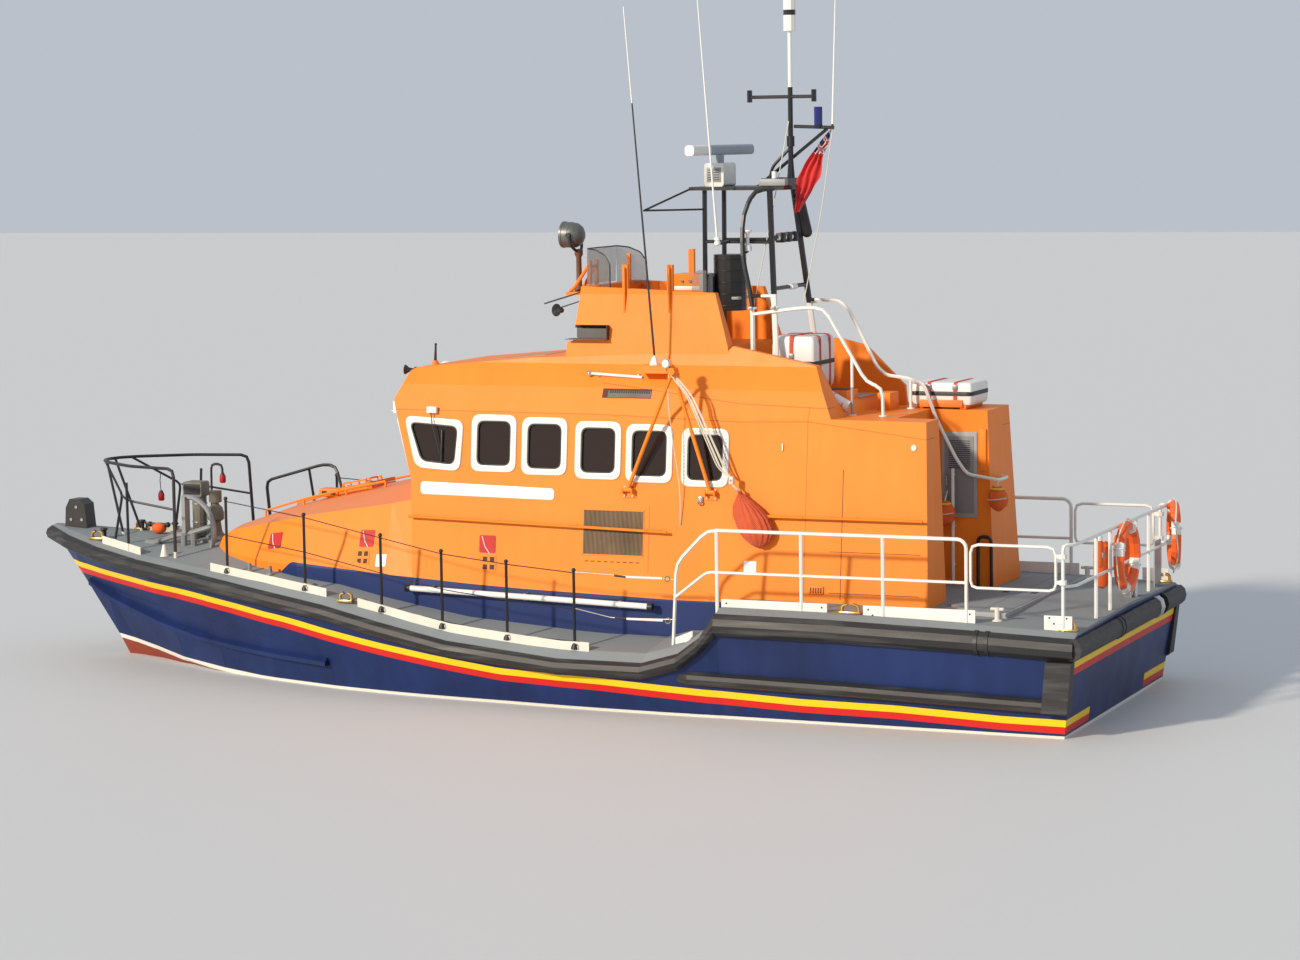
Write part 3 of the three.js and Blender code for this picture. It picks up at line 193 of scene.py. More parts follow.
def addCamera():
    turn, dip, roll = photoView["turn"], photoView["dip"], photoView["roll"]
    ahead = Vector((math.sin(turn) * math.cos(dip), -math.cos(turn) * math.cos(dip), -math.sin(dip)))
    right = Vector((-math.cos(turn), -math.sin(turn), 0))
    up = right.cross(ahead)
    across = math.cos(roll) * right + math.sin(roll) * up
    upright = -math.sin(roll) * right + math.cos(roll) * up
    camera = bpy.data.objects.new("camera", bpy.data.cameras.new("camera"))
    camera.data.lens = photoView["lens"]
    camera.data.clip_end = 500
    turned = Matrix((across, upright, -ahead)).transposed().to_4x4()
    camera.matrix_world = Matrix.Translation(photoView["place"]) @ turned
    scene.collection.objects.link(camera)
    scene.camera = camera


studio = {"sky": (0.80, 0.86, 0.95), "skyStrength": 0.62, "sunColor": (1.0, 0.87, 0.70), "sunStrength": 3.7,
          "sunFrom": (16, 30, 15), "sunSoftness": 4, "floor": (0.62, 0.64, 0.66)}


def addStudio():
    world = bpy.data.worlds.new("studio")
    world.use_nodes = True
    world.node_tree.nodes["Background"].inputs[0].default_value = (*studio["sky"], 1)
    world.node_tree.nodes["Background"].inputs[1].default_value = studio["skyStrength"]
    scene.world = world
    sun = bpy.data.objects.new("sun", bpy.data.lights.new("sun", "SUN"))
    sun.data.energy = studio["sunStrength"]
    sun.data.color = studio["sunColor"]
    sun.data.angle = math.radians(studio["sunSoftness"])
    sun.rotation_euler = Vector(studio["sunFrom"]).to_track_quat("Z", "Y").to_euler()
    scene.collection.objects.link(sun)
    bm = bmesh.new()
    bmesh.ops.create_grid(bm, x_segments=1, y_segments=1, size=150)
    mesh = bpy.data.meshes.new("floor")
    bm.to_mesh(mesh)
    bm.free()
    floor = bpy.data.objects.new("floor", mesh)
    scene.collection.objects.link(floor)
    mesh.materials.append(Finish("floor", studio["floor"], 0.6).material)
    scene.view_settings.view_transform = "Standard"


addCamera()
addStudio()
print("camera and studio")

orangeTone = (0.93, 0.24, 0.018)
navyTone = (0.010, 0.027, 0.125)
whiteTone = (0.80, 0.80, 0.76)
creamTone = (0.72, 0.70, 0.62)
blackTone = (0.02, 0.02, 0.022)
tubeTone = (0.016, 0.016, 0.018)
bottomTone = (0.24, 0.045, 0.025)
deepBlue = (0.012, 0.02, 0.16)
hullLines = {
    # (place along the hull, height) of the upper edge of the stripes
    "stripe": [(-7.1, 0.21), (-6.2, 0.22), (-5.0, 0.27), (-3.9, 0.28), (-2.7, 0.33), (-1.5, 0.40),
               (-0.2, 0.44), (0.7, 0.54), (1.7, 0.67), (2.9, 0.85), (4.2, 1.0), (5.7, 1.11), (7.2, 1.22)],
    "stripeWidth": 0.078, "yellow": (0.90, 0.60, 0.012), "red": (0.62, 0.018, 0.012),
    # upper edge of the stripes on the transom, and where its corners begin, their upper edge and top
    "transomStripe": 0.85, "cornerFrom": 1.15, "cornerStripe": 0.21, "cornerTop": 0.5,
    "boot": [(-7.1, 0.03), (3.4, 0.035), (4.85, 0.09), (6.1, 0.25), (7.1, 0.3)], "bootWidth": 0.055,
    # (height, place along the hull) of the face of the transom
    "transom": [(-0.3, -6.86), (1.2, -7.062)], "transomMargin": 0.015,
}


def hullPaint():
    paint = Finish("hullPaint", navyTone, 0.4, Specular_IOR_Level=0.3)
    x, y, z = paint.axes()
    width = hullLines["stripeWidth"]
    side = x > (paint.along(z, hullLines["transom"]) + hullLines["transomMargin"])
    corners = (1 - side) * (abs(y) > hullLines["cornerFrom"]) * (z < hullLines["cornerTop"])
    drop = (paint.along(x, hullLines["stripe"]) - z) * side
    drop = drop + (hullLines["transomStripe"] - z) * (1 - side) * (1 - corners)
    drop = drop + (hullLines["cornerStripe"] - z) * corners
    boot = paint.along(x, hullLines["boot"])
    bottom = z < (boot - hullLines["bootWidth"])
    color = paint.weathered(navyTone, 1.2, 0.2)
    color = paint.blend((drop > 0.0) * (drop < width), color, hullLines["yellow"])
    color = paint.blend((drop > width) * (drop < 2 * width), color, hullLines["red"])
    color = paint.blend(z < boot, color, creamTone)
    paint.feed("Base Color", paint.blend(bottom, color, bottomTone))
    paint.feed("Roughness", paint.noise(3.0) * 0.15 + 0.35 + bottom * 0.2)
    return paint.material


def deckPaint():
    paint = Finish("deckPaint", (0.17, 0.2, 0.22), 0.85)
    grit = paint.noise(90.0, 2.0)
    share = grit * 0.4 + paint.noise(1.1) * 0.6
    paint.feed("Base Color", paint.blend(share, (0.16, 0.185, 0.20), (0.27, 0.30, 0.32)))
    paint.bump(grit, 0.002, 0.6)
    return paint.material


# (place along the boat, height) of the upper edge of the navy foot of the wheelhouse and the trunk
navyFoot = [(-5.6, 1.22), (-2.12, 1.22), (-0.23, 1.27), (0.45, 1.30), (1.1, 1.34), (2.95, 1.44),
            (3.15, 1.28), (4.6, 1.0)]
seams = {
    # (place along the boat, height) of the joints between the plates of the wheelhouse
    "low": [(-5.1, 3.10), (-3.7, 3.27), (-2.88, 3.25), (-1.2, 3.30), (1.5, 3.31)],
    "high": [(-3.76, 3.42), (-2.86, 3.45), (-1.6, 3.60), (-1.12, 3.65), (1.5, 3.66)], "highEnd": -1.1,
    # (place, foot, top) of the upright joints
    "upright": [(-3.70, 1.25, 3.43), (-1.8, 1.5, 2.28)],
    "width": 0.005, "tone": (0.25, 0.05, 0.01),
}


def orangePaint(name, footed=False, shadedInsideAndSeams=False, gritty=False):
    paint = Finish(name, orangeTone, 0.5, Specular_IOR_Level=0.3)
    x, y, z = paint.axes()
    color = paint.weathered(orangeTone, 0.9, 0.05)
    if gritty:
        grit = paint.noise(120.0, 2.0)
        color = paint.blend((paint.facing(2) > 0.8) * (grit * 0.5 + 0.5), color, (0.62, 0.22, 0.10))
    if footed:
        color = paint.blend(z < paint.along(x, navyFoot), color, navyTone)
    if shadedInsideAndSeams:
        # painted shade on the inner faces of the shell, standing for the dark inside the cabin, then the
        # joints between the plates
        cabinShade = ((paint.facing(1) * y) < -0.05) * (abs(y) > 1.0) * (z < (x > -2.65) * 0.9 + 3.2)
        color = paint.blend(cabinShade, color, (0.05, 0.055, 0.06))
        width = seams["width"]
        joint = abs(z - paint.along(x, seams["low"])) < width
        joint = joint + (abs(z - paint.along(x, seams["high"])) < width) * (x < seams["highEnd"])
        for place, foot, top in seams["upright"]:
            joint = joint + (abs(x - place) < width) * (z < top) * (z > foot)
        color = paint.blend(joint * (abs(y) > 0.95) * 0.55, color, seams["tone"])
    paint.feed("Base Color", color)
    paint.patchy(5.0, 0.12, 0.42)
    paint.bump(paint.noise(2.2, 2.0), 0.012, 0.12)
    return paint.material


def plainPaint(name, tone, roughness=0.4, depth=0.1, metallic=0.0, grain=40.0):
    paint = Finish(name, tone, roughness, metallic)
    paint.feed("Base Color", paint.weathered(tone, 2.5, depth))
    paint.feed("Roughness", paint.noise(grain, 2.0) * 0.2 + (roughness - 0.1))
    return paint.material


def rubberFinish():
    paint = Finish("fenderRubber", (0.03, 0.03, 0.032), 0.62)
    scuff = paint.noise(5.0, 5.0, (0.25, 1, 3))
    paint.feed("Base Color", paint.blend((scuff - 0.5) * 3.0, (0.018, 0.018, 0.02), (0.085, 0.085, 0.085)))
    paint.feed("Roughness", scuff * 0.3 + 0.4)
    paint.bump(paint.noise(30.0, 3.0), 0.003, 0.4)
    return paint.material


def mastPaint():
    # black tubes, white on the sleeves at the feet of the legs and on the stair handrails
    paint = Finish("mastPaint", blackTone, 0.35)
    x, y, z = paint.axes()
    sleeve = (z < 4.5) * (x < -2.6) + (z < 4.66) * (x < -2.9) * (y > 0.3) + (z < 4.58) * (x < -3.13)
    sleeve = sleeve + (z < 4.6) * (x < -3.16) + (y > 0.66) * (z > 5.25) * (x < -2.0)
    sleeve = sleeve + (x < -3.5) * (z > 6.58)
    lamp = (z > 6.575) * (x < -3.3) * (x > -3.47) * (z < 6.8)
    color = paint.blend(sleeve, tubeTone, whiteTone)
    paint.feed("Base Color", paint.blend(lamp, color, deepBlue))
    paint.patchy(20.0, 0.2, 0.25)
    return paint.material


# (place along the boat, height) of the upper edge of the toe boards
toeBoards = [(-2.05, 0.795), (-1.0, 0.795), (0.45, 0.915), (1.36, 1.075), (2.2, 1.23), (3.15, 1.33),
             (4.15, 1.42), (5.2, 1.50), (6.0, 1.59)]


def railPaint(name):
    # black rails on cream toe boards that follow the deck edge
    paint = Finish(name, blackTone, 0.35)
    x, _, z = paint.axes()
    rail = paint.weathered((0.018, 0.018, 0.02), 3.0, 0.2)
    board = paint.weathered(creamTone, 3.0, 0.06)
    paint.feed("Base Color", paint.blend(z < paint.along(x, toeBoards), rail, board))
    paint.patchy(20.0, 0.2, 0.3)
    return paint.material


def scannerPaint():
    # grey bar with one white end
    paint = Finish("scannerPaint", (0.4, 0.43, 0.46), 0.4)
    y = paint.axes()[1]
    bar = paint.weathered((0.33, 0.38, 0.44), 3.0, 0.08)
    paint.feed("Base Color", paint.blend(y > 0.27, bar, (0.8, 0.8, 0.78)))
    paint.patchy(12.0, 0.15, 0.35)
    return paint.material


def louvreFinish():
    # brown-grey mesh behind the slats
    paint = Finish("louvreMesh", (0.2, 0.15, 0.1), 0.6, 0.3)
    x = paint.axes()[0]
    band = (x * 14.0).fraction()
    paint.feed("Base Color", paint.blend(band * 0.7, (0.20, 0.145, 0.10), (0.12, 0.12, 0.075)))
    paint.patchy(60.0, 0.2, 0.5)
    return paint.material


def polePaint():
    # black, with a white upper length that has one black band
    paint = Finish("polePaint", blackTone, 0.35)
    z = paint.axes()[2]
    band = (z > 7.83) * (z < 7.89)
    paint.feed("Base Color", paint.blend((z > 7.01) * (1 - band), tubeTone, whiteTone))
    paint.patchy(20.0, 0.2, 0.25)
    return paint.material


def whipPaint():
    # black whip with a white tip and base ring, on an orange foot
    paint = Finish("whipPaint", blackTone, 0.35)
    z = paint.axes()[2]
    color = paint.blend((z > 6.85) + (z < 3.98) * (z > 3.86), blackTone, whiteTone)
    paint.feed("Base Color", paint.blend(z < 3.872, color, orangeTone))
    paint.patchy(20.0, 0.2, 0.25)
    return paint.material


def glassFinish():
    paint = Finish("tintedGlass", (0.030, 0.018, 0.013), 0.04, Alpha=0.88)
    paint.patchy(2.0, 0.05, 0.02)
    return paint.material


def ensignCloth():
    # red field with painted shade and highlight along its folds, with the crossed canton gathered up at the
    # hoist
    cloth = Finish("ensignCloth", (0.55, 0.01, 0.015), 0.85, Sheen_Weight=0.3)
    x, _, z = cloth.axes()
    canton = (z > 6.24) * (x < -3.36) + (z > 6.41)
    # painted shade and highlight in long streaks, standing for the light on the folds
    fold = cloth.noise(14.0, 3.0, (1.0, 1.0, 0.3))
    foldShadedField = cloth.blend(fold, (0.42, 0.004, 0.008), (0.78, 0.022, 0.016))
    rising, falling = [abs(line.fraction() - 0.5) for line in ((x + z) * 6.5, (x * 1.7 - z) * 5.0 + 0.2)]
    jack = cloth.blend((rising < 0.22) + (falling < 0.2), deepBlue, (0.78, 0.77, 0.74))
    jack = cloth.blend((rising < 0.09) + (falling < 0.07), jack, (0.6, 0.01, 0.012))
    weave = cloth.noise(260.0, 1.0)
    color = cloth.blend(canton, foldShadedField, jack)
    cloth.feed("Base Color", cloth.blend(weave * 0.25, color, (0.02, 0.0, 0.0)))
    cloth.bump(weave, 0.001, 0.5)
    return cloth.material


def lifebuoyFinish(name, centre):
    # orange ring with four white bands
    ring = Finish(name, (0.85, 0.12, 0.01), 0.45)
    _, y, z = ring.axes()
    angle = (z - centre[2]).maths("ARCTAN2", y - centre[1])
    band = abs((angle / (math.pi / 2) + 0.278).fraction() - 0.5) < 0.13
    ring.feed("Base Color", ring.blend(band, (0.85, 0.12, 0.012), (0.78, 0.78, 0.74)))
    ring.patchy(14.0, 0.2, 0.35)
    return ring.material


def dress(material, *names):
    for name in names:
        piece = nodes[name]
        piece.data.materials.clear()
        piece.data.materials.append(material)


whitePaint = plainPaint("whitePaint", whiteTone, 0.35, 0.05)
blackPaint = plainPaint("blackPaint", (0.018, 0.018, 0.02), 0.38, 0.2)
gearGrey = plainPaint("gearGrey", (0.30, 0.32, 0.33), 0.45, 0.15, 0.3)
trimDark = plainPaint("cabinTrim", (0.05, 0.055, 0.06), 0.75, 0.1)
orangePlain = orangePaint("orangePaint")
bronze = plainPaint("bronze", (0.42, 0.28, 0.12), 0.4, 0.2, 0.9)
steel = plainPaint("steel", (0.5, 0.51, 0.52), 0.25, 0.1, 0.95)
canister = plainPaint("canisterShell", (0.74, 0.74, 0.71), 0.4, 0.05)
tinted = glassFinish()
dress(hullPaint(), "hull")
dress(deckPaint(), "foredeck", "aft_deck")
dress(rubberFinish(), "fender_upper", "fender_lower_port", "fender_lower_starboard")
dress(orangePaint("wheelhousePaint", True, True), "wheelhouse")
dress(orangePaint("trunkPaint", True, gritty=True), "trunk_cabin")
dress(orangePlain, "trunk_hatch", "flybridge", "flybridge_console", "davit_frame")
dress(whitePaint, "window_frames_port", "window_frames_starboard", "window_frames_front", "aft_door",
      "aft_rail_port", "aft_rail_starboard", "rail_gate_port", "rail_gate_starboard", "stern_rail",
      "radar_pedestal")
dress(tinted, "window_glass_port", "window_glass_starboard", "window_glass_front", "flybridge_screen")
dress(trimDark, "cabin_floor", "helm_console", "crew_seats_port", "crew_seats_starboard")
dress(gearGrey, "searchlight", "capstan_base", "anchor")
dress(louvreFinish(), "louvre_grille_port", "louvre_grille_starboard")
dress(blackPaint, "trunk_rail", "bow_roller")
dress(mastPaint(), "mast_frame")
dress(polePaint(), "mast_pole")
dress(whipPaint(), "whip_aerial_port")
dress(scannerPaint(), "radar_scanner")
dress(ensignCloth(), "ensign")
dress(canister, "liferaft_forward", "liferaft_aft")
dress(railPaint("lifelinePaint"), "lifeline_port", "lifeline_starboard", "bow_rail")
dress(bronze, "propeller_port", "propeller_starboard")
dress(plainPaint("capstanGrey", (0.20, 0.19, 0.155), 0.5, 0.2, 0.2), "capstan_drum", "windlass")
dress(steel, "shaft_port", "shaft_starboard")
dress(plainPaint("rudderPaint", bottomTone, 0.6, 0.2), "rudder_port", "rudder_starboard")
for side in ("port", "starboard"):
    low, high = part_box("lifebuoy_" + side)
    centre = [(a + b) / 2 for a, b in zip(low, high)]
    centre[2] = low[2] + 0.412
    dress(lifebuoyFinish("lifebuoy" + side.title(), centre), "lifebuoy_" + side)
print("paint on the frame")

# Where the pieces of the frame are, found by casting a ray at them
skins = {}


def touch(name, start, way):
    if name not in skins:
        bm = bmesh.new()
        bm.from_mesh(nodes[name].data)
        bm.transform(nodes[name].matrix_world)
        skins[name] = BVHTree.FromBMesh(bm)
        bm.free()
    place, normal, _, _ = skins[name].ray_cast(Vector(start), Vector(way))
    return place, normal


def topOf(name, x, y):
    return touch(name, (x, y, 9), (0, 0, -1))[0].z


def wallFrame(name, x, z, side=1):
    # a flat frame on a side wall: across toward the bow, up the wall, out of it
    place, normal = touch(name, (x, side * 6, z), (0, -side, 0))
    across = Vector((1, 0, 0))
    across = (across - across.dot(normal) * normal).normalized()
    up = normal.cross(across)
    if up.z < 0:
        up = -up
    return Matrix.Translation(place) @ Matrix((across, up, normal)).transposed().to_4x4()


def crossways(place=0):
    # a flat frame square to the length of the boat, at a place along it
    return Matrix(((0, 0, 1, place), (1, 0, 0, 0), (0, 1, 0, 0), (0, 0, 0, 1)))


def sideways(place):
    # a flat frame square to the breadth of the boat, at a place across it
    return Matrix(((1, 0, 0, 0), (0, 0, -1, place), (0, 1, 0, 0), (0, 0, 0, 1)))


def turnsOf(count):
    return [2 * math.pi * i / count for i in range(count)]


def roundOff(corners, bend):
    points, steps = [Vector(corner) for corner in corners], 3
    route = [points[0]]
    for before, here, after in zip(points, points[1:], points[2:]):
        back, on = before - here, after - here
        reach = min(bend, back.length * 0.45, on.length * 0.45)
        start, end = here + back.normalized() * reach, here + on.normalized() * reach
        for i in range(steps + 1):
            t = i / steps
            route.append(start * (1 - t) ** 2 + here * 2 * t * (1 - t) + end * t ** 2)
    return route + [points[-1]]


def roundedOutline(corners, radius, steps=5):
    points = [Vector(corner) for corner in corners]
    line = []
    for i, here in enumerate(points):
        before, after = points[i - 1], points[(i + 1) % len(points)]
        start = here + (before - here).normalized() * radius
        end = here + (after - here).normalized() * radius
        for k in range(steps + 1):
            t = k / steps
            soft = start * (1 - t) ** 2 + here * 2 * t * (1 - t) + end * t ** 2
            line.append(soft + (here - (start + end) / 2) * 0.34 * t * (1 - t) * 0.8)
    return line


def rectangle(width, height, radius, centre=(0, 0), steps=5):
    w, h = width / 2, height / 2
    return roundedOutline([(centre[0] + a * w, centre[1] + b * h)
                           for a, b in ((-1, -1), (1, -1), (1, 1), (-1, 1))], radius, steps)


# degrees between two faces from which their edge is sharp
sharpFrom = 35


class Shape:
    # one piece of the scene, made of simple solids, each with the finish that was last worn
    def __init__(self, name):
        self.name = name
        self.bm = bmesh.new()
        self.finishes = []
        self.finish = 0
        self.where = Matrix.Identity(4)

    def wear(self, material):
        if material not in self.finishes:
            self.finishes.append(material)
        self.finish = self.finishes.index(material)
        return self

    def at(self, where=None):
        self.where = where or Matrix.Identity(4)
        return self

    def keep(self, part):
        bmesh.ops.remove_doubles(part, verts=part.verts, dist=1e-6)
        bmesh.ops.recalc_face_normals(part, faces=part.faces)
        bmesh.ops.transform(part, matrix=self.where, verts=part.verts)
        if self.where.determinant() < 0:
            bmesh.ops.reverse_faces(part, faces=part.faces)
        for face in part.faces:
            face.material_index = self.finish
            face.smooth = True
        mesh = bpy.data.meshes.new("part")
        part.to_mesh(mesh)
        part.free()
        self.bm.from_mesh(mesh)
        bpy.data.meshes.remove(mesh)
        return self

    def block(self, low, high, bevel=0.0):
        part = bmesh.new()
        bmesh.ops.create_cube(part, size=1)
        bmesh.ops.scale(part, vec=Vector(high) - Vector(low), verts=part.verts)
        bmesh.ops.translate(part, vec=(Vector(low) + Vector(high)) / 2, verts=part.verts)
        if bevel:
            bmesh.ops.bevel(part, geom=part.edges[:], offset=bevel, segments=2, profile=0.5,
                            affect="EDGES", material=-1)
        return self.keep(part)

    def rod(self, start, end, radius, tip=None, sides=14):
        start, end = Vector(start), Vector(end)
        part = bmesh.new()
        bmesh.ops.create_cone(part, cap_ends=True, segments=sides, radius1=radius,
                              radius2=radius if tip is None else tip, depth=(end - start).length)
        turn = (end - start).to_track_quat("Z", "Y").to_matrix().to_4x4()
        bmesh.ops.transform(part, matrix=Matrix.Translation((start + end) / 2) @ turn, verts=part.verts)
        return self.keep(part)

    def ball(self, centre, radius, squash=(1, 1, 1)):
        part = bmesh.new()
        bmesh.ops.create_uvsphere(part, u_segments=16, v_segments=10, radius=radius)
        bmesh.ops.scale(part, vec=squash, verts=part.verts)
        bmesh.ops.translate(part, vec=centre, verts=part.verts)
        return self.keep(part)

    def turned(self, profile, base, axis=(0, 0, 1), steps=24, closed=False):
        part = bmesh.new()
        verts = [part.verts.new((r, 0, h)) for r, h in profile]
        pairs = list(zip(verts, verts[1:])) + ([(verts[-1], verts[0])] if closed else [])
        edges = [part.edges.new(pair) for pair in pairs]
        bmesh.ops.spin(part, geom=verts + edges, cent=(0, 0, 0), axis=(0, 0, 1), angle=2 * math.pi,
                       steps=steps, use_merge=True)
        turn = Vector(axis).to_track_quat("Z", "Y").to_matrix().to_4x4()
        bmesh.ops.transform(part, matrix=Matrix.Translation(base) @ turn, verts=part.verts)
        return self.keep(part)

    def ring(self, centre, axis, radius, thick, steps=24):
        circle = [(radius + thick * math.cos(a), thick * math.sin(a)) for a in turnsOf(8)]
        return self.turned(circle, centre, axis, steps, True)

    def tube(self, points, radius, bend=0.0, sides=8, closed=False):
        route = roundOff(points, bend) if bend else [Vector(p) for p in points]
        part = bmesh.new()
        side = Vector((0.31, 0.62, 0.72))
        rings = []
        for i, here in enumerate(route):
            if closed:
                along = (route[(i + 1) % len(route)] - route[i - 1]).normalized()
            else:
                along = (route[min(i + 1, len(route) - 1)] - route[max(i - 1, 0)]).normalized()
            side = (side - side.dot(along) * along).normalized()
            other = along.cross(side)
            rings.append([part.verts.new(here + radius * (math.cos(a) * side + math.sin(a) * other))
                          for a in turnsOf(sides)])
        pairs = list(zip(rings, rings[1:])) + ([(rings[-1], rings[0])] if closed else [])
        for first, second in pairs:
            for k in range(sides):
                after = (k + 1) % sides
                part.faces.new((first[k], first[after], second[after], second[k]))
        if not closed:
            part.faces.new(rings[0])
            part.faces.new(rings[-1])
        return self.keep(part)

    def plate(self, outline, low, high, bevel=0.0):
        part = bmesh.new()
        face = part.faces.new([part.verts.new((p[0], p[1], low)) for p in outline])
        made = bmesh.ops.extrude_face_region(part, geom=[face])
        lifted = [v for v in made["geom"] if isinstance(v, bmesh.types.BMVert)]
        bmesh.ops.translate(part, vec=(0, 0, high - low), verts=lifted)
        if bevel:
            rim = [e for e in part.edges if all(v in lifted for v in e.verts)]
            bmesh.ops.bevel(part, geom=rim, offset=bevel, segments=2, profile=0.5, affect="EDGES",
                            material=-1)
        return self.keep(part)

    def band(self, outer, inner, low, high, bevel=0.0):
        # a flat frame between two outlines of equal count
        part = bmesh.new()
        loops = [[part.verts.new((p[0], p[1], w)) for p in line]
                 for line, w in ((outer, low), (outer, high), (inner, high), (inner, low))]
        count = len(outer)
        for first, second in zip(loops, loops[1:] + loops[:1]):
            for k in range(count):
                after = (k + 1) % count
                part.faces.new((first[k], first[after], second[after], second[k]))
        if bevel:
            rim = [e for e in part.edges if all(v in loops[1] for v in e.verts)
                   or all(v in loops[2] for v in e.verts)]
            bmesh.ops.bevel(part, geom=rim, offset=bevel, segments=2, profile=0.5, affect="EDGES",
                            material=-1)
        return self.keep(part)

    def skin(self, rings):
        # a closed shell through rings of equal count
        part = bmesh.new()
        rows = [[part.verts.new(p) for p in ring] for ring in rings]
        count = len(rows[0])
        for first, second in zip(rows, rows[1:]):
            for k in range(count):
                after = (k + 1) % count
                part.faces.new((first[k], first[after], second[after], second[k]))
        part.faces.new(rows[0])
        part.faces.new(rows[-1])
        return self.keep(part)

    def done(self, body="boat", replaces=(), blend=None):
        mesh = bpy.data.meshes.new(self.name)
        self.bm.to_mesh(mesh)
        self.bm.free()
        mesh.set_sharp_from_angle(angle=math.radians(sharpFrom))
        for material in self.finishes:
            mesh.materials.append(material)
        piece = bpy.data.objects.new(self.name, mesh)
        scene.collection.objects.link(piece)
        if blend:
            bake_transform(piece)
        else:
            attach(piece, body)
        if replaces:
            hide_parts(*replaces)
        return piece


both = (("Port", 1), ("Starboard", -1))
blackPlastic = plainPaint("blackPlastic", blackTone, 0.5, 0.2)
chrome = plainPaint("chrome", (0.75, 0.76, 0.78), 0.14, 0.04, 1.0)
boltGrey = plainPaint("boltGrey", (0.32, 0.33, 0.34), 0.4, 0.1, 0.6)
redPaint = plainPaint("redPaint", (0.50, 0.010, 0.006), 0.6, 0.08)
redStrap = plainPaint("redStrap", (0.62, 0.10, 0.06), 0.8, 0.12)
ropeWhite = plainPaint("ropeWhite", (0.70, 0.66, 0.56), 0.85, 0.12, 0.0, 90.0)
# painted shade in holes, slots and openings, and also the dark seams of the locker doors on the after house
holeShadeAndSeams = plainPaint("holeShadeAndSeams", (0.10, 0.022, 0.010), 0.7, 0.15)
# painted shade in small gaps, slots and holes, and also the dark seam across the aft hatch
gapShadeAndSeam = plainPaint("gapShadeAndSeam", (0.03, 0.03, 0.034), 0.7, 0.15)
brass = plainPaint("brassFairlead", (0.62, 0.40, 0.14), 0.3, 0.15, 0.95)
panelGrey = plainPaint("panelGrey", (0.36, 0.37, 0.38), 0.5, 0.1)
# painted shade inside slots and behind grilles
slotShade = plainPaint("slotShade", (0.13, 0.125, 0.12), 0.6, 0.15)
gritPatch = plainPaint("gritPatch", (0.60, 0.33, 0.20), 0.9, 0.12, 0.0, 200.0)
creamPaint = plainPaint("creamPaint", creamTone, 0.45, 0.06)
labelWhite = plainPaint("labelWhite", (0.84, 0.84, 0.82), 0.4, 0.04)
lensGlow = plainPaint("lampLens", (0.85, 0.83, 0.74), 0.1, 0.05)
softOrange = plainPaint("rescueOrange", (0.80, 0.13, 0.014), 0.75, 0.12, 0.0, 120.0)

# Windows: white frames with a row of bolts, a dark gasket and a pane almost flush with the wall
windows = {"border": 0.069, "gasket": 0.014, "proud": 0.016, "corner": 0.13, "inner": 0.8, "glazed": 0.7,
           "bolt": 0.005, "boltPitch": 0.042, "size": (0.57, 0.66),
           # (along, height) of the middles of the level windows, and of the corners of the first
           "centres": [(0.19, 2.94), (-0.46, 2.92), (-1.14, 2.89), (-1.78, 2.87), (-2.47, 2.84)],
           "first": [(1.20, 2.64), (0.625, 2.605), (0.59, 3.195), (1.365, 3.235)],
           # (across, height) of two points on the leaning side wall
           "foot": (1.45, 1.2), "knuckle": (1.23, 3.3),
           # wiper of the first window, as (along, height, distance off the wall)
           "motor": [(0.93, 3.27, 0.0), (1.06, 3.35, 0.05)],
           "blade": [(0.86, 2.70, 0.0), (0.875, 3.08, 0.018)],
           "arm": [(1.0, 3.28, 0.045), (0.98, 3.15, 0.05), (0.88, 2.80, 0.03)]}
wallLean = math.atan2(windows["foot"][0] - windows["knuckle"][0], windows["knuckle"][1] - windows["foot"][1])


def sideWall(side):
    up = Vector((0, -side * math.sin(wallLean), math.cos(wallLean)))
    out = Vector((0, side * math.cos(wallLean), math.sin(wallLean)))
    turned = Matrix((Vector((1, 0, 0)), up, out)).transposed().to_4x4()
    return Matrix.Translation((0, side * windows["foot"][0], windows["foot"][1])) @ turned


def upWall(z):
    return (z - windows["foot"][1]) / math.cos(wallLean)


def grown(corners, offset):
    middle = [sum(c[i] for c in corners) / len(corners) for i in (0, 1)]
    return [tuple(c[i] + (offset if c[i] > middle[i] else -offset) for i in (0, 1)) for c in corners]


def addBolts(shape, line):
    shape.wear(boltGrey)
    half, proud = windows["bolt"], windows["proud"]
    walked = 0.0
    for here, there in zip(line, line[1:] + line[:1]):
        length = (there - here).length
        while walked < length:
            spot = here.lerp(there, walked / length)
            shape.block((spot.x - half, spot.y - half, proud - 0.001),
                        (spot.x + half, spot.y + half, proud + 0.003))
            walked += windows["boltPitch"]
        walked -= length


def windowPart(shape, corners, corner):
    border, gasket, proud = windows["border"], windows["gasket"], windows["proud"]
    outer = roundedOutline(grown(corners, 0.004), corner)
    inner = roundedOutline(grown(corners, -border), corner * windows["inner"])
    glazed = roundedOutline(grown(corners, -border - gasket), corner * windows["glazed"])
    shape.wear(whitePaint).band(outer, inner, -0.03, proud, 0.006)
    shape.wear(blackPlastic).band(inner, glazed, -0.028, proud - 0.008)
    shape.wear(tinted).plate(glazed, -0.026, -0.016)
    addBolts(shape, roundedOutline(grown(corners, -border * 0.5), corner * windows["inner"], 4))


def boxCorners(width, height, centre=(0, 0)):
    w, h = width / 2, height / 2
    return [(centre[0] + a * w, centre[1] + b * h) for a, b in ((-1, -1), (1, -1), (1, 1), (-1, 1))]


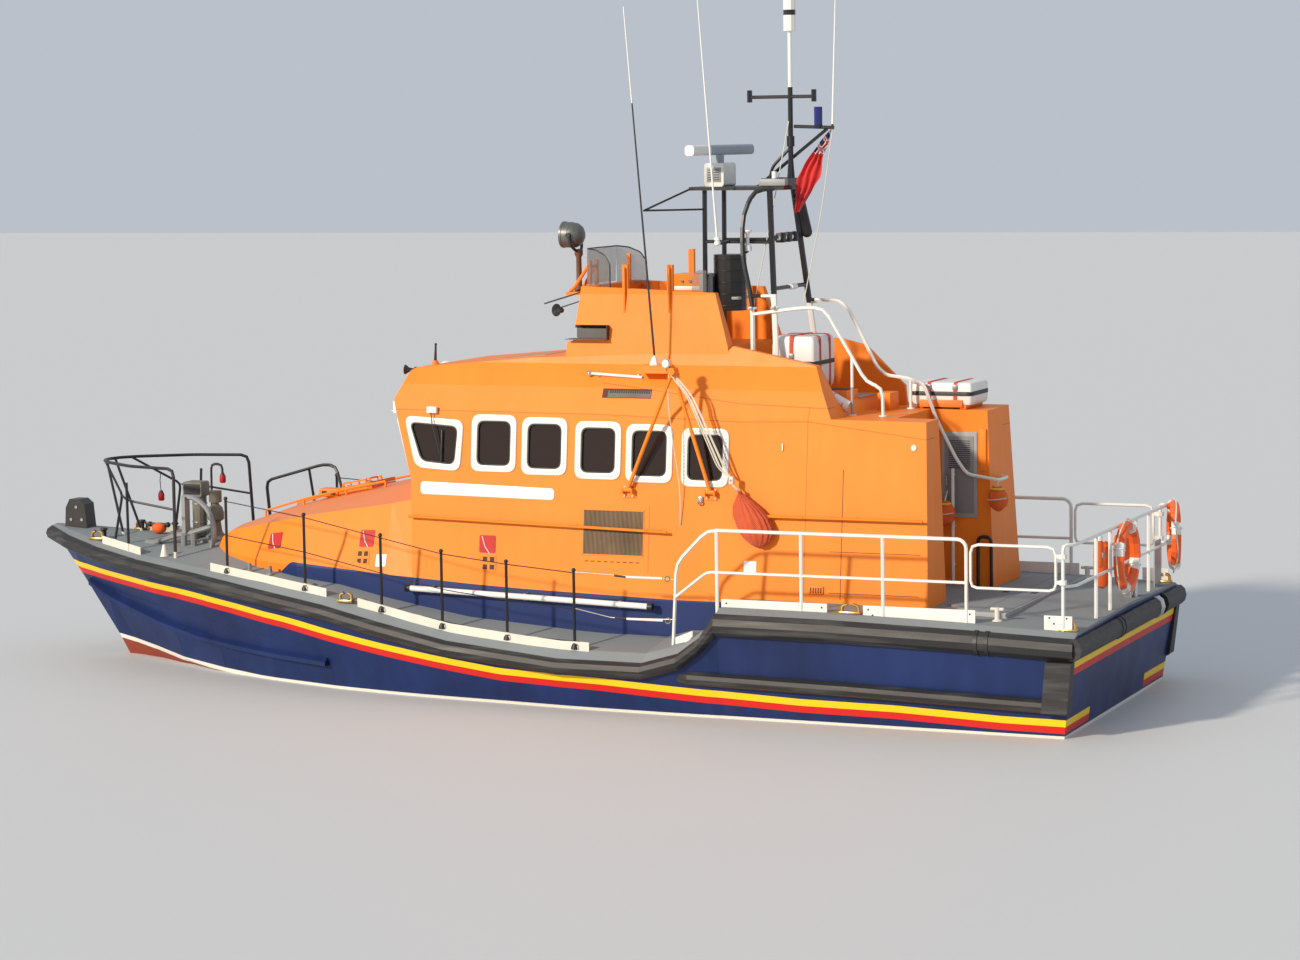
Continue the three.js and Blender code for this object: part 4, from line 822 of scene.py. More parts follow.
for name, side in both:
    shape = Shape("sideWindows" + name).at(sideWall(side))
    windowPart(shape, [(x, upWall(z)) for x, z in windows["first"]], windows["corner"])
    for x, z in windows["centres"]:
        windowPart(shape, boxCorners(*windows["size"], (x, upWall(z))), windows["corner"])
    motor, blade, arm = [[(x, upWall(z), out) for x, z, out in windows[part]]
                         for part in ("motor", "blade", "arm")]
    shape.wear(whitePaint).block(*motor, 0.012)
    shape.wear(blackPlastic).tube(arm, 0.006).block(*blade, 0.003)
    shape.done(replaces=["window_frames_" + name.lower()])

front = {
    # place of the foot of the wall, (along, across) of its corner, half width of its flat middle
    "foot": 1.55, "corner": (1.29, 1.25), "half": 0.62,
    # heights of the foot, of the middle of the panes and of the knuckle, and place of the head
    "bottom": 2.5, "middle": 2.905, "knuckle": 3.29, "head": 1.74,
    # side, width and height of the panes
    "panes": [(0, 0.98, 0.61), (1, 0.47, 0.61), (-1, 0.47, 0.61)], "bend": 0.11, "sideLean": 0.9,
    "wipers": [-0.25, 0.25],
}


def frontWall(side):
    # a flat frame in the middle of a front pane
    foot, (cornerFoot, across) = front["foot"], front["corner"]
    lean = math.atan2(front["head"] - foot, front["knuckle"] - front["bottom"])
    turn = math.atan2(foot - cornerFoot, across - front["half"])
    if side:
        lean *= front["sideLean"]
        foot = (foot + cornerFoot) / 2
    rise = front["middle"] - front["bottom"]
    return (Matrix.Translation((foot, side * (front["half"] + across) / 2, front["bottom"]))
            @ Matrix.Rotation(side * turn, 4, "Z")
            @ Matrix.Translation((rise * math.tan(lean), 0, rise))
            @ Matrix.Rotation(lean, 4, "Y") @ crossways())


shape = Shape("frontWindows")
for side, width, height in front["panes"]:
    shape.at(frontWall(side))
    windowPart(shape, boxCorners(width, height), front["bend"])
    if side == 0:
        h = height / 2
        shape.wear(blackPlastic)
        for across in front["wipers"]:
            arm = [(across, h + 0.05, 0.03), (across, h - 0.1, 0.05), (across * 1.6, -0.05, 0.03)]
            shape.tube(arm, 0.006)
shape.done(replaces=["window_frames_front"])
print("windows")

# Louvres: a thin frame and many upright blades over a brown mesh, with a dashed slot under them
louvre = {"place": (-1.355, 1.955), "size": (0.77, 0.53), "blades": 46, "edge": 0.012, "margin": 0.015,
          # count and pitch of the dashes, and (across, down) of the corners of the first
          "dashes": 9, "dashPitch": 0.08, "dash": [(0.05, 0.075), (0.095, 0.065)]}


def addLouvre(name, side):
    x, z = louvre["place"]
    w, h, edge = louvre["size"][0] / 2, louvre["size"][1] / 2, louvre["edge"]
    shape = Shape("louvre" + name).at(sideWall(side) @ Matrix.Translation((x, upWall(z), 0)))
    shape.wear(louvreFinish()).block((-w + 0.004, -h + 0.004, -0.014), (w - 0.004, h - 0.004, -0.006))
    shape.wear(plainPaint("bladeBrown" + name, (0.20, 0.13, 0.075), 0.5, 0.2, 0.4))
    pitch = (w - louvre["margin"]) * 2 / louvre["blades"]
    for i in range(louvre["blades"]):
        u = -w + louvre["margin"] + (i + 0.5) * pitch
        shape.block((u - pitch * 0.28, -h + 0.01, -0.008), (u + pitch * 0.28, h - 0.01, 0.003))
    shape.wear(orangePlain)
    for low, high in (((-w, -h), (w, -h + edge)), ((-w, h - edge), (w, h)),
                      ((-w, -h), (-w + edge, h)), ((w - edge, -h), (w, h))):
        shape.block((*low, -0.012), (*high, 0.004))
    # painted shade in the dashes of the slot
    shape.wear(holeShadeAndSeams)
    (start, foot), (end, top) = louvre["dash"]
    for i in range(louvre["dashes"]):
        u = -w + i * louvre["dashPitch"]
        shape.block((u + start, -h - foot, -0.002), (u + end, -h - top, 0.0025))
    shape.done(replaces=["louvre_grille_" + name.lower()])


for name, side in both:
    addLouvre(name, side)

# Signs, plates and small grilles on the side walls; all signs are blank
plates = {
    # ends, upper edge, depth at each end and drop of the name board
    "nameBoard": {"ends": (1.13, -0.60), "top": 2.475, "depth": (0.15, 0.135), "drop": 0.038, "corner": 0.06},
    # (along, height, piece that carries it)
    "redSquares": [(3.27, 1.66, "trunk_cabin"), (1.90, 1.76, "trunk_cabin"), (0.24, 1.77, "wheelhouse")],
    "holePlates": [(1.93, 1.54, "trunk_cabin"), (0.22, 1.55, "wheelhouse")],
    "labels": [(1.66, 1.52, "trunk_cabin"), (-3.05, 1.62, "wheelhouse")],
    "redSquare": (0.21, 0.205, 0.025), "holePlate": (0.19, 0.19, 0.015), "label": (0.15, 0.15, 0.02),
    "mark": [(0.07, 0.09, 0.006), (0.03, -0.03, 0.006), (-0.03, -0.11, 0.006)],
    "holeShift": 0.045, "hole": 0.029,
    # middle, height, half length and teeth of the grille under the roof
    "topGrille": {"place": (-1.445, 3.54), "half": 0.305, "teeth": 18},
}


def addSigns(name, side):
    shape = Shape("sideSigns" + name)
    sign = plates["nameBoard"]
    (fore, aft), (foreDeep, aftDeep) = sign["ends"], sign["depth"]
    foreTop = upWall(sign["top"])
    aftTop = foreTop - sign["drop"]
    board = [(aft, aftTop - aftDeep), (fore, foreTop - foreDeep), (fore, foreTop), (aft, aftTop)]
    shape.at(sideWall(side)).wear(labelWhite)
    shape.plate(roundedOutline(board, sign["corner"]), 0.0, 0.008, 0.003)
    for x, z, carrier in plates["redSquares"]:
        shape.at(wallFrame(carrier, x, z, side)).wear(redPaint)
        shape.plate(rectangle(*plates["redSquare"]), 0.0, 0.004)
        shape.wear(labelWhite).tube(plates["mark"], 0.005)
    for x, z, carrier in plates["holePlates"]:
        shape.at(wallFrame(carrier, x, z, side)).wear(orangePlain)
        shape.plate(rectangle(*plates["holePlate"]), 0.0, 0.006)
        # painted shade in the four holes of each plate
        shape.wear(holeShadeAndSeams)
        for u in (-plates["holeShift"], plates["holeShift"]):
            for v in (-plates["holeShift"], plates["holeShift"]):
                half = plates["hole"]
                shape.block((u - half, v - half, 0.004), (u + half, v + half, 0.0075))
    for x, z, carrier in plates["labels"]:
        shape.at(wallFrame(carrier, x, z, side)).wear(labelWhite)
        shape.plate(rectangle(*plates["label"]), 0.0, 0.004)
    shape.done()


def addRoofGrille(name, side):
    grille = plates["topGrille"]
    w, pitch = grille["half"], (2 * grille["half"] - 0.10) / grille["teeth"]
    shape = Shape("roofGrille" + name).at(wallFrame("wheelhouse", *grille["place"], side))
    # painted shade behind the grille and in its openings
    shape.wear(holeShadeAndSeams).block((-w, -0.06, 0.0), (w, 0.055, 0.004))
    shape.wear(slotShade).block((-w, -0.055, 0.003), (w - 0.07, 0.03, 0.006))
    shape.wear(gapShadeAndSeam)
    for i in range(grille["teeth"]):
        u = -w + 0.02 + i * pitch
        shape.block((u, 0.0, 0.003), (u + 0.018, 0.028, 0.0075))
    shape.done()


for name, side in both:
    addSigns(name, side)
    addRoofGrille(name, side)

# Boathook stowed along the foot of the port wall, and the small vent further aft
boathook = {"ends": [(1.21, 1.55, 1.235), (-1.86, 1.55, 1.145)], "radius": 0.034, "clips": [0.9, -0.3, -1.5],
            # (along, height) of the dark caps
            "caps": [(1.21, 1.235), (-1.88, 1.143)], "slope": 0.0293}
shape = Shape("boathook").wear(labelWhite).rod(*boathook["ends"], boathook["radius"])
shape.wear(blackPlastic)
for x, z in boathook["caps"]:
    shape.rod((x + 0.03, 1.55, z), (x - 0.03, 1.55, z), 0.045)
shape.wear(boltGrey)
for x in boathook["clips"]:
    z = boathook["ends"][0][2] - (boathook["ends"][0][0] - x) * boathook["slope"]
    shape.block((x - 0.012, 1.40, z - 0.04), (x + 0.012, 1.56, z + 0.04), 0.004)
shape.done()

afterHouse = {"vent": (-3.85, 1.40), "seams": [1.83, 1.37], "seamEnds": (-5.06, -4.0),
              "upright": (-4.14, 1.3, 2.75), "lever": (-3.415, 2.94, 3.02), "lamp": (-4.957, 3.008),
              "lampShell": [(0, 0.018), (0.028, 0.017), (0.035, 0.01), (0.036, 0.0)]}
shape = Shape("smallVents")
for name, side in both:
    shape.at(wallFrame("wheelhouse", *afterHouse["vent"], side)).wear(orangePlain)
    shape.block((-0.09, -0.045, 0), (0.09, 0.045, 0.02), 0.008)
    # painted shade in the slots of the vent
    shape.wear(holeShadeAndSeams)
    for i in range(5):
        u = -0.07 + i * 0.03
        shape.block((u, -0.03, 0.018), (u + 0.015, 0.03, 0.022))
    # seams of the locker doors, the little lever and the lamp on the side of the after house
    shape.at(sideWall(side))
    aft, fore = afterHouse["seamEnds"]
    for z in afterHouse["seams"]:
        shape.block((aft, upWall(z), 0), (fore, upWall(z) + 0.006, 0.0015))
    x, foot, top = afterHouse["upright"]
    shape.block((x, upWall(foot), 0), (x + 0.007, upWall(top), 0.0015))
    x, foot, top = afterHouse["lever"]
    shape.wear(labelWhite).block((x, upWall(foot), 0), (x + 0.015, upWall(top), 0.02), 0.004)
    x, z = afterHouse["lamp"]
    shape.wear(creamPaint).turned(afterHouse["lampShell"], (x, upWall(z), 0))
shape.done()
print("side walls")

# Lifelines: ball tops and feet of the stanchions, and the rigging screws at the after end
lifelines = {
    # (along, across) of the stanchions, from the bow
    "stanchions": [(3.73, 1.403), (2.50, 1.702), (1.385, 1.891), (0.555, 1.975), (-0.305, 2.04),
                   (-1.175, 2.091)],
    "height": 0.9, "ball": 0.025, "foot": [(0, 0.075), (0.021, 0.07), (0.042, 0.03), (0.046, 0.0)],
    # height on the last stanchion, knee and end of the wire, height of its rigging screw
    "tails": [(0.877, (-1.65, 2.05, 1.566), (-2.392, 2.0, 1.533), 1.548),
              (0.463, (-1.62, 2.05, 1.078), (-2.384, 2.0, 1.083), 1.072)],
    # (along, across) where the black and the white sleeve of a screw begin and end, and its eye
    "sleeves": [(-1.66, 2.048), (-1.80, 2.04), (-2.23, 2.012)], "eye": (-2.29, 2.008),
}
deckEdge = {
    # (along, across, deck, half length) of the brass fairleads
    "fairleads": [(6.11, 0.53, "foredeck", 0.10), (1.89, 1.83, "foredeck", 0.10),
                  (-4.46, 2.0, "aft_deck", 0.13), (-6.93, 2.0, "aft_deck", 0.10)],
    # fore and aft ends of the after toe boards, and (in from the end, height) of their holes
    "toeBoards": [(-2.95, -4.20), (-4.62, -5.90), (-6.67, -6.98)], "holes": [(0.06, 1.30), (0.11, 1.24)],
}
steelWire = plainPaint("steelWire", (0.30, 0.29, 0.27), 0.4, 0.1, 0.8)


def addLifelineFittings(name, side):
    shape = Shape("lifelineFittings" + name).wear(blackPlastic)
    for x, y in lifelines["stanchions"]:
        foot = topOf("foredeck", x, side * (y - 0.06))
        shape.ball((x, side * y, foot + lifelines["height"]), lifelines["ball"])
        shape.turned(lifelines["foot"], (x, side * y, foot - 0.004))
        shape.ring((x - 0.03, side * (y + 0.045), foot + 0.035), (1, 0, 0), 0.026, 0.006, 10)
    lastX, lastY = lifelines["stanchions"][-1]
    last = topOf("foredeck", lastX, side * (lastY - 0.061))
    black, white, tip = [(x, side * y) for x, y in lifelines["sleeves"]]
    eye = (lifelines["eye"][0], side * lifelines["eye"][1])
    for rise, knee, end, screw in lifelines["tails"]:
        line = [(x, side * y, z) for x, y, z in ((lastX, lastY, last + rise), knee, end)]
        shape.wear(steelWire).tube(line, 0.006, 0.05, 6)
        shape.wear(blackPlastic).rod((*black, screw + 0.012), (*white, screw), 0.013)
        shape.wear(labelWhite).rod((*white, screw), (*tip, screw - 0.004), 0.014)
        shape.wear(steelWire).ring((*eye, screw - 0.006), (0, 1, 0.2), 0.03, 0.008, 12)
    shape.done()


def addFairleads(name, side):
    leads = Shape("fairleads" + name).wear(brass)
    for x, across, deck, long in deckEdge["fairleads"]:
        y = side * across
        base = topOf(deck, x, side * (across - 0.05))
        leads.block((x - long, y - 0.045, base - 0.01), (x + long, y + 0.045, base + 0.025), 0.01)
        for way in (-long, long):
            leads.tube([(x + way * 0.75, y, base + 0.02), (x + way * 0.72, y, base + 0.085),
                        (x + way * 0.25, y, base + 0.10)], 0.019, 0.05, 8)
    # painted shade in the holes of the after toe boards
    leads.wear(gapShadeAndSeam)
    for fore, aft in deckEdge["toeBoards"]:
        for inward, z in deckEdge["holes"]:
            for x in (fore - inward, aft + inward):
                leads.rod((x, side * 2.030, z), (x, side * 2.0385, z), 0.011, sides=10)
    leads.done()


for name, side in both:
    addLifelineFittings(name, side)
    addFairleads(name, side)
print("lifelines")

# Life rafts: red straps round the canisters, a dark seam and an orange cradle
rafts = {
    # lower and upper corner of the canister, height of the seam
    "forward": ((-3.53, -0.14, 3.562), (-3.005, 0.55, 4.18), 3.87),
    "aft": ((-5.078, -1.10, 3.33), (-4.342, -0.45, 3.60), 3.472),
    # share of the way from the seam to the crown, and how far the shell has pulled in there
    "crown": [(0.0, 0.0), (0.62, 0.002), (0.88, 0.012), (0.97, 0.032), (1.0, 0.07)],
    # (axis that the strap goes round, place on it)
    "forwardStraps": [(0, -3.25), (1, 0.04), (1, 0.36)], "aftStraps": [(0, -4.565), (0, -4.88)],
    "strap": 0.045, "strapOut": 0.006,
}
shell = plainPaint("raftShell", (0.80, 0.80, 0.79), 0.35, 0.05)
cradleOrange = plainPaint("cradleOrange", (0.86, 0.21, 0.02), 0.5, 0.06)


def raftBody(shape, low, high, middle):
    # two half shells with crowned tops that meet in a dark rubber seam
    centre = ((low[0] + high[0]) / 2, (low[1] + high[1]) / 2)
    for base, crown in ((middle + 0.012, high[2]), (middle - 0.012, low[2])):
        rings = []
        for share, pull in rafts["crown"]:
            z = base + (crown - base) * share
            line = rectangle(high[0] - low[0] - 2 * pull, high[1] - low[1] - 2 * pull, 0.05, centre)
            rings.append([(p.x, p.y, z) for p in line])
        shape.wear(shell).skin(rings)
    seam = rectangle(high[0] - low[0] + 0.016, high[1] - low[1] + 0.016, 0.08, centre)
    shape.wear(blackPlastic).plate(seam, middle - 0.024, middle + 0.024, 0.008)


def strapRound(shape, low, high, along, place):
    # a flat strap round the canister, with its buckle
    cross = 1 - along
    out, half = rafts["strapOut"], rafts["strap"] / 2
    w0, w1 = low[cross] - out, high[cross] + out
    h0, h1 = low[2] - out, high[2] + out
    outer, inner = [roundedOutline([(w0 + grow, h0 + grow), (w1 - grow, h0 + grow), (w1 - grow, h1 - grow),
                                    (w0 + grow, h1 - grow)], bend, 6)
                    for grow, bend in ((0, 0.075), (out * 2, 0.065))]
    middle = (h0 + h1) / 2
    shape.at(sideways(place) if along else crossways(place))
    shape.wear(redStrap).band(outer, inner, -half, half)
    shape.wear(boltGrey).block((w1 - 0.006, middle + 0.05, -0.03), (w1 + 0.008, middle + 0.11, 0.03), 0.004)
    shape.at()


for name in ("forward", "aft"):
    low, high, seam = rafts[name]
    shape = Shape("raft" + name.title())
    raftBody(shape, low, high, seam)
    for along, place in rafts[name + "Straps"]:
        strapRound(shape, low, high, along, place)
    shape.wear(cradleOrange)
    if name == "forward":
        well = topOf("wheelhouse", -3.43, 0.2) + 0.002
        for x in (-3.43, -3.10):
            shape.block((x - 0.03, -0.10, well), (x + 0.03, 0.505, 3.57), 0.008)
    else:
        for x in (-4.45, -4.97):
            roofline = topOf("wheelhouse", x, -0.8) + 0.001
            shape.block((x - 0.04, -1.09, roofline), (x + 0.04, -0.46, 3.36), 0.01)
        shape.block((-4.97, -0.452, topOf("wheelhouse", -4.7, -0.8) + 0.02), (-4.45, -0.436, 3.40), 0.006)
    shape.done(replaces=["liferaft_" + name])
print("rafts")

# Recovery frame: wall plates, lamp, tackle, net bag and the block at the lower end
recovery = {
    "wallPlates": [-1.54, -2.56], "plateHeight": 2.43, "bolts": [(-0.05, 0.02), (0.05, 0.016)],
    "lamp": (-2.10, 1.47, 3.915), "lampFacing": (0.25, 1, 0.12),
    "lampShell": [(0, -0.05), (0.035, -0.045), (0.058, -0.01), (0.06, 0.03), (0.052, 0.04), (0.0, 0.042)],
    "lampGlass": [(0, 0.052), (0.03, 0.049), (0.05, 0.038), (0.05, 0.03), (0, 0.03)],
    # hook and lug at the lower end
    "hook": ((-2.43, 1.345, 2.33), (0.3, 0.4, 1), 0.03, 0.009, 14),
    "lug": ((-2.46, 1.32, 2.34), (-2.40, 1.35, 2.40), 0.008),
    # white rod ahead of the foot of the whip aerial, its knob and the places of its clips
    "rod": [(-0.96, 1.035, 3.757), (-1.60, 1.035, 3.722)], "rodRadius": 0.017,
    "knob": ((-0.94, 1.035, 3.757), 0.035), "clips": [-1.05, -1.55],
    "lampStem": [(-2.14, 1.45, 3.84), (-2.11, 1.45, 3.88)],
    # pulley of the tackle, its pin and the strop of the bag
    "pulley": ((-2.885, 1.415, 2.565), (-2.825, 1.475, 2.655), 0.014),
    "pin": [(-2.855, 1.41, 2.61), (-2.855, 1.48, 2.61)], "thinRod": 0.012,
    "strop": [(-2.86, 1.45, 2.57), (-2.90, 1.45, 2.53), (-2.935, 1.44, 2.49)],
    # (along, upward) shift of each part of the tackle
    "falls": [(-0.03, 0.0), (-0.012, 0.02), (0.006, -0.01), (0.024, 0.015), (0.04, 0.0)],
    "tail": [(-2.10, 1.44, 3.79), (-2.085, 1.44, 3.50), (-2.14, 1.42, 2.98), (-2.20, 1.38, 2.50),
             (-2.19, 1.37, 2.07)],
    # (centre, half width, half depth) down the net bag
    "netBag": [((-2.935, 1.43, 2.495), 0.03, 0.03), ((-2.95, 1.425, 2.46), 0.022, 0.022),
               ((-2.98, 1.435, 2.40), 0.075, 0.05), ((-3.03, 1.445, 2.31), 0.15, 0.075),
               ((-3.08, 1.45, 2.21), 0.195, 0.09), ((-3.13, 1.455, 2.10), 0.205, 0.095),
               ((-3.15, 1.455, 2.01), 0.19, 0.092), ((-3.16, 1.455, 1.94), 0.15, 0.078),
               ((-3.165, 1.45, 1.89), 0.09, 0.05), ((-3.165, 1.45, 1.87), 0.03, 0.02)],
}
shape = Shape("davitPlates")
for x in recovery["wallPlates"]:
    shape.at(wallFrame("wheelhouse", x, recovery["plateHeight"]))
    shape.wear(orangePlain).plate(rectangle(0.15, 0.15, 0.02), 0, 0.009, 0.003)
    shape.wear(boltGrey)
    for across in (-0.05, 0.05):
        for up, head in recovery["bolts"]:
            shape.rod((across, up, 0.008), (across, up, head), 0.012, sides=6)
shape.at().wear(steel).ring(*recovery["hook"]).block(*recovery["lug"])
shape.wear(labelWhite).rod(*recovery["rod"], recovery["rodRadius"])
shape.wear(chrome).ball(*recovery["knob"])
shape.wear(boltGrey)
for x in recovery["clips"]:
    shape.block((x - 0.015, 0.97, 3.71), (x + 0.015, 1.03, 3.755), 0.004)
shape.done()

shape = Shape("davitLamp")
for material, part in ((chrome, "lampShell"), (lensGlow, "lampGlass")):
    shape.wear(material).turned(recovery[part], recovery["lamp"], recovery["lampFacing"])
shape.wear(blackPlastic).rod(*recovery["lampStem"], recovery["thinRod"])
shape.done("davit")

shape = Shape("recoveryTackle").wear(ropeWhite)
for shift, low in recovery["falls"]:
    shape.tube([(-2.16 + shift * 0.6, 1.45 + shift * 0.3, 3.79), (-2.37 + shift, 1.452, 3.55 + low),
                (-2.745 + shift * 1.3, 1.455, 2.74 + low), (-2.84, 1.45, 2.64)], 0.008, 0.12, 6)
shape.wear(creamPaint).block(*recovery["pulley"])
shape.wear(boltGrey).rod(*recovery["pin"], recovery["thinRod"])
shape.wear(ropeWhite).tube(recovery["strop"], 0.012, 0.02).tube(recovery["tail"], 0.006, 0.2, 6)
shape.done(blend=("boat", "davit", (-2.2, 1.4, 2.46), (-2.16, 1.45, 3.75)))


def netCloth():
    # orange-red netting in folds, with painted shade and highlight along the folds and painted shade in the
    # gaps of a fine diamond mesh
    cloth = Finish("netCloth", (0.80, 0.12, 0.03), 0.8, Sheen_Weight=0.2)
    x, _, z = cloth.axes()
    cord = (abs(((x + z) * 42.0).fraction() - 0.5) < 0.2) + (abs(((x - z) * 42.0).fraction() - 0.5) < 0.2)
    # painted shade and highlight along the folds, then painted shade in the gaps between the cords
    fold = cloth.noise(9.0, 3.0, (1, 1, 0.25))
    base = cloth.blend(fold, (0.50, 0.045, 0.010), (0.80, 0.15, 0.035))
    cloth.feed("Base Color", cloth.blend(cord * 0.75 + 0.25, (0.38, 0.03, 0.012), base))
    cloth.bump(cord * 0.1 + fold, 0.03, 0.7)
    return cloth.material


def hungBag(shape, rings, folds, ripple, seed=0.0):
    # rings of (centre, half width, half depth); the folds fade toward the foot
    rows = []
    for i, (centre, wide, deep) in enumerate(rings):
        share = i / (len(rings) - 1)
        row = []
        for a in turnsOf(72):
            wave = 1 + ripple * (1 - share * 0.6) * math.sin(folds * a + seed + 2.5 * share)
            wave += 0.05 * math.sin(3 * a + 5 * share + seed)
            row.append((centre[0] + wide * wave * math.cos(a), centre[1] + deep * wave * math.sin(a),
                        centre[2] + 0.012 * math.sin(2 * a + seed)))
        rows.append(row)
    return shape.skin(rows)


shape = Shape("netBag").wear(netCloth())
hungBag(shape, recovery["netBag"], 15, 0.09)
shape.done()
print("recovery frame")

# Mast: sidelight and anchor light housings, floodlights, drum hoops, leg collars and halyards
mast = {
    "lanternAt": (-2.71, 0.5, 5.15), "lanternArm": (-2.68, 0.59, 5.12), "insulatorAt": (-2.42, 0.705, 5.27),
    "lantern": [(0, 0.245), (0.045, 0.24), (0.052, 0.225), (0.03, 0.205), (0.02, 0.19), (0.02, 0.08),
                (0.045, 0.06), (0.05, 0.0), (0, 0)],
    "insulator": [(0.016, -0.05), (0.036, -0.04), (0.036, -0.01), (0.022, 0.0), (0.036, 0.01), (0.036, 0.04),
                  (0.016, 0.05)],
    "crossRod": [(-3.06, 0.06, 4.72), (-3.06, -0.10, 4.72)],
    "lid": ((-2.46, -0.17, 4.57), (-2.12, 0.17, 4.605), 0.008),
    "floodlights": [0.22, 0.02, -0.2], "floodGlass": [(0, 0.02), (0.02, 0.018), (0.032, 0.008), (0.034, 0.0)],
    "housing": [(-2.995, -0.425, 5.72), (-3.06, -0.50, 5.33)],
    "hoops": [4.50 + turn * 0.135 for turn in range(5)], "drum": (-2.29, 0.188),
    "collars": [(-2.80, 0.6, 4.50), (-3.085, 0.62, 4.51), (-3.085, -0.62, 4.51)],
    # cable up to the lamp at the top of the after arm, the lamp and the box by it with its slots
    "cable": [(-2.80, 0.0, 5.96), (-2.83, 0.0, 6.10), (-3.04, 0.0, 6.30)],
    "topLamp": [(-3.06, 0, 6.33), (-3.06, 0, 6.45)], "cap": [(-2.95, 0.25, 5.97), (-2.95, 0.25, 6.05)],
    "box": ((-3.10, 0.182, 5.885), (-2.77, 0.30, 5.965)), "slots": [-0.12, 0.0, 0.12],
    "halyards": [[(-3.57, 0.0, 6.50), (-3.52, 0.24, 5.6), (-3.417, 0.6, 4.54)],
                 [(-3.05, 0.03, 6.62), (-2.92, 0.3, 5.5), (-2.80, 0.58, 4.50)]],
}
shape = Shape("mastFittings").wear(labelWhite).turned(mast["lantern"], mast["lanternAt"])
shape.wear(blackPaint).rod(mast["lanternAt"], mast["lanternArm"], 0.02)
shape.wear(labelWhite).turned(mast["insulator"], mast["insulatorAt"])
for y in mast["floodlights"]:
    shape.wear(blackPlastic).block((-3.06, y - 0.05, 5.235), (-2.96, y + 0.05, 5.345), 0.012)
    shape.wear(chrome).turned(mast["floodGlass"], (-3.0, y + 0.05, 5.29), (0, 1, 0))
    shape.wear(redPaint).block((-3.03, y - 0.02, 5.342), (-3.0, y + 0.02, 5.352), 0.003)
shape.wear(labelWhite).rod(*mast["crossRod"], 0.034)
upper, lower = mast["housing"]
shape.wear(blackPaint).rod(upper, lower, 0.065).ball(upper, 0.085).ball(lower, 0.065)
shape.wear(panelGrey).block(*mast["lid"])
shape.wear(blackPaint)
for z in mast["hoops"]:
    shape.ring((mast["drum"][0], 0, z), (0, 0, 1), mast["drum"][1], 0.006, 24)
for x, y, z in mast["collars"]:
    shape.wear(labelWhite).ring((x, y, z), (0, 0, 1), 0.04, 0.014, 16)
    shape.wear(boltGrey).block((x - 0.02, y + 0.04, z - 0.02), (x + 0.02, y + 0.065, z + 0.02), 0.004)
shape.wear(ropeWhite)
for halyard in mast["halyards"]:
    shape.tube(halyard, 0.006, 0.3, 6)
shape.wear(blackPaint).tube(mast["cable"], 0.018, 0.15).rod(*mast["topLamp"], 0.045)
shape.wear(labelWhite).rod(*mast["cap"], 0.03)
shape.wear(panelGrey).block(*mast["box"], 0.01)
# painted shade in the slots of the box
shape.wear(gapShadeAndSeam)
for y in mast["slots"]:
    shape.block((-3.02, y - 0.03, 5.967), (-2.84, y + 0.03, 5.975), 0.003)
shape.done()

# Radar pedestal: a grip on its fore side and a grille on its port side
low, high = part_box("radar_pedestal")
grip = [(high[0] + out, high[1] - 0.06, z) for out, z in (
    (0.0, low[2] + 0.09), (0.012, low[2] + 0.09), (0.012, high[2] - 0.07), (0.0, high[2] - 0.07))]
shape = Shape("radarTrim").wear(labelWhite).tube(grip, 0.008, 0.01, 8)
panel = [(low[0] + 0.03, high[1] - 0.004, low[2] + 0.05), (high[0] - 0.03, high[1] + 0.004, high[2] - 0.05)]
shape.wear(panelGrey).block(*panel, 0.003)
# painted shade in the slots of the grille
shape.wear(gapShadeAndSeam)
for i in range(5):
    z = low[2] + 0.075 + i * 0.028
    shape.block((low[0] + 0.05, high[1] + 0.002, z), (high[0] - 0.05, high[1] + 0.006, z + 0.008))
shape.done()
print("mast")

# Ensign: thin cloth in soft folds, hanging by its hoist from the tip of the arm
ensign = {
    # height, after edge, fore edge, how far the cloth stands out to port
    "rows": [(6.54, -3.58, -3.555, 0.0), (6.49, -3.565, -3.52, 0.004), (6.40, -3.545, -3.44, 0.010),
             (6.261, -3.49, -3.33, 0.03), (5.976, -3.45, -3.16, 0.07), (5.76, -3.30, -3.135, 0.095),
             (5.58, -3.20, -3.14, 0.11)],
    "columns": 36, "lines": 60, "thick": 0.0008, "cut": (0.32, 0.96),
}


def between(rows, z):
    for first, second in zip(rows, rows[1:]):
        if first[0] >= z >= second[0]:
            t = (first[0] - z) / (first[0] - second[0])
            return [a + (b - a) * t for a, b in zip(first, second)][1:]
    return rows[-1][1:]


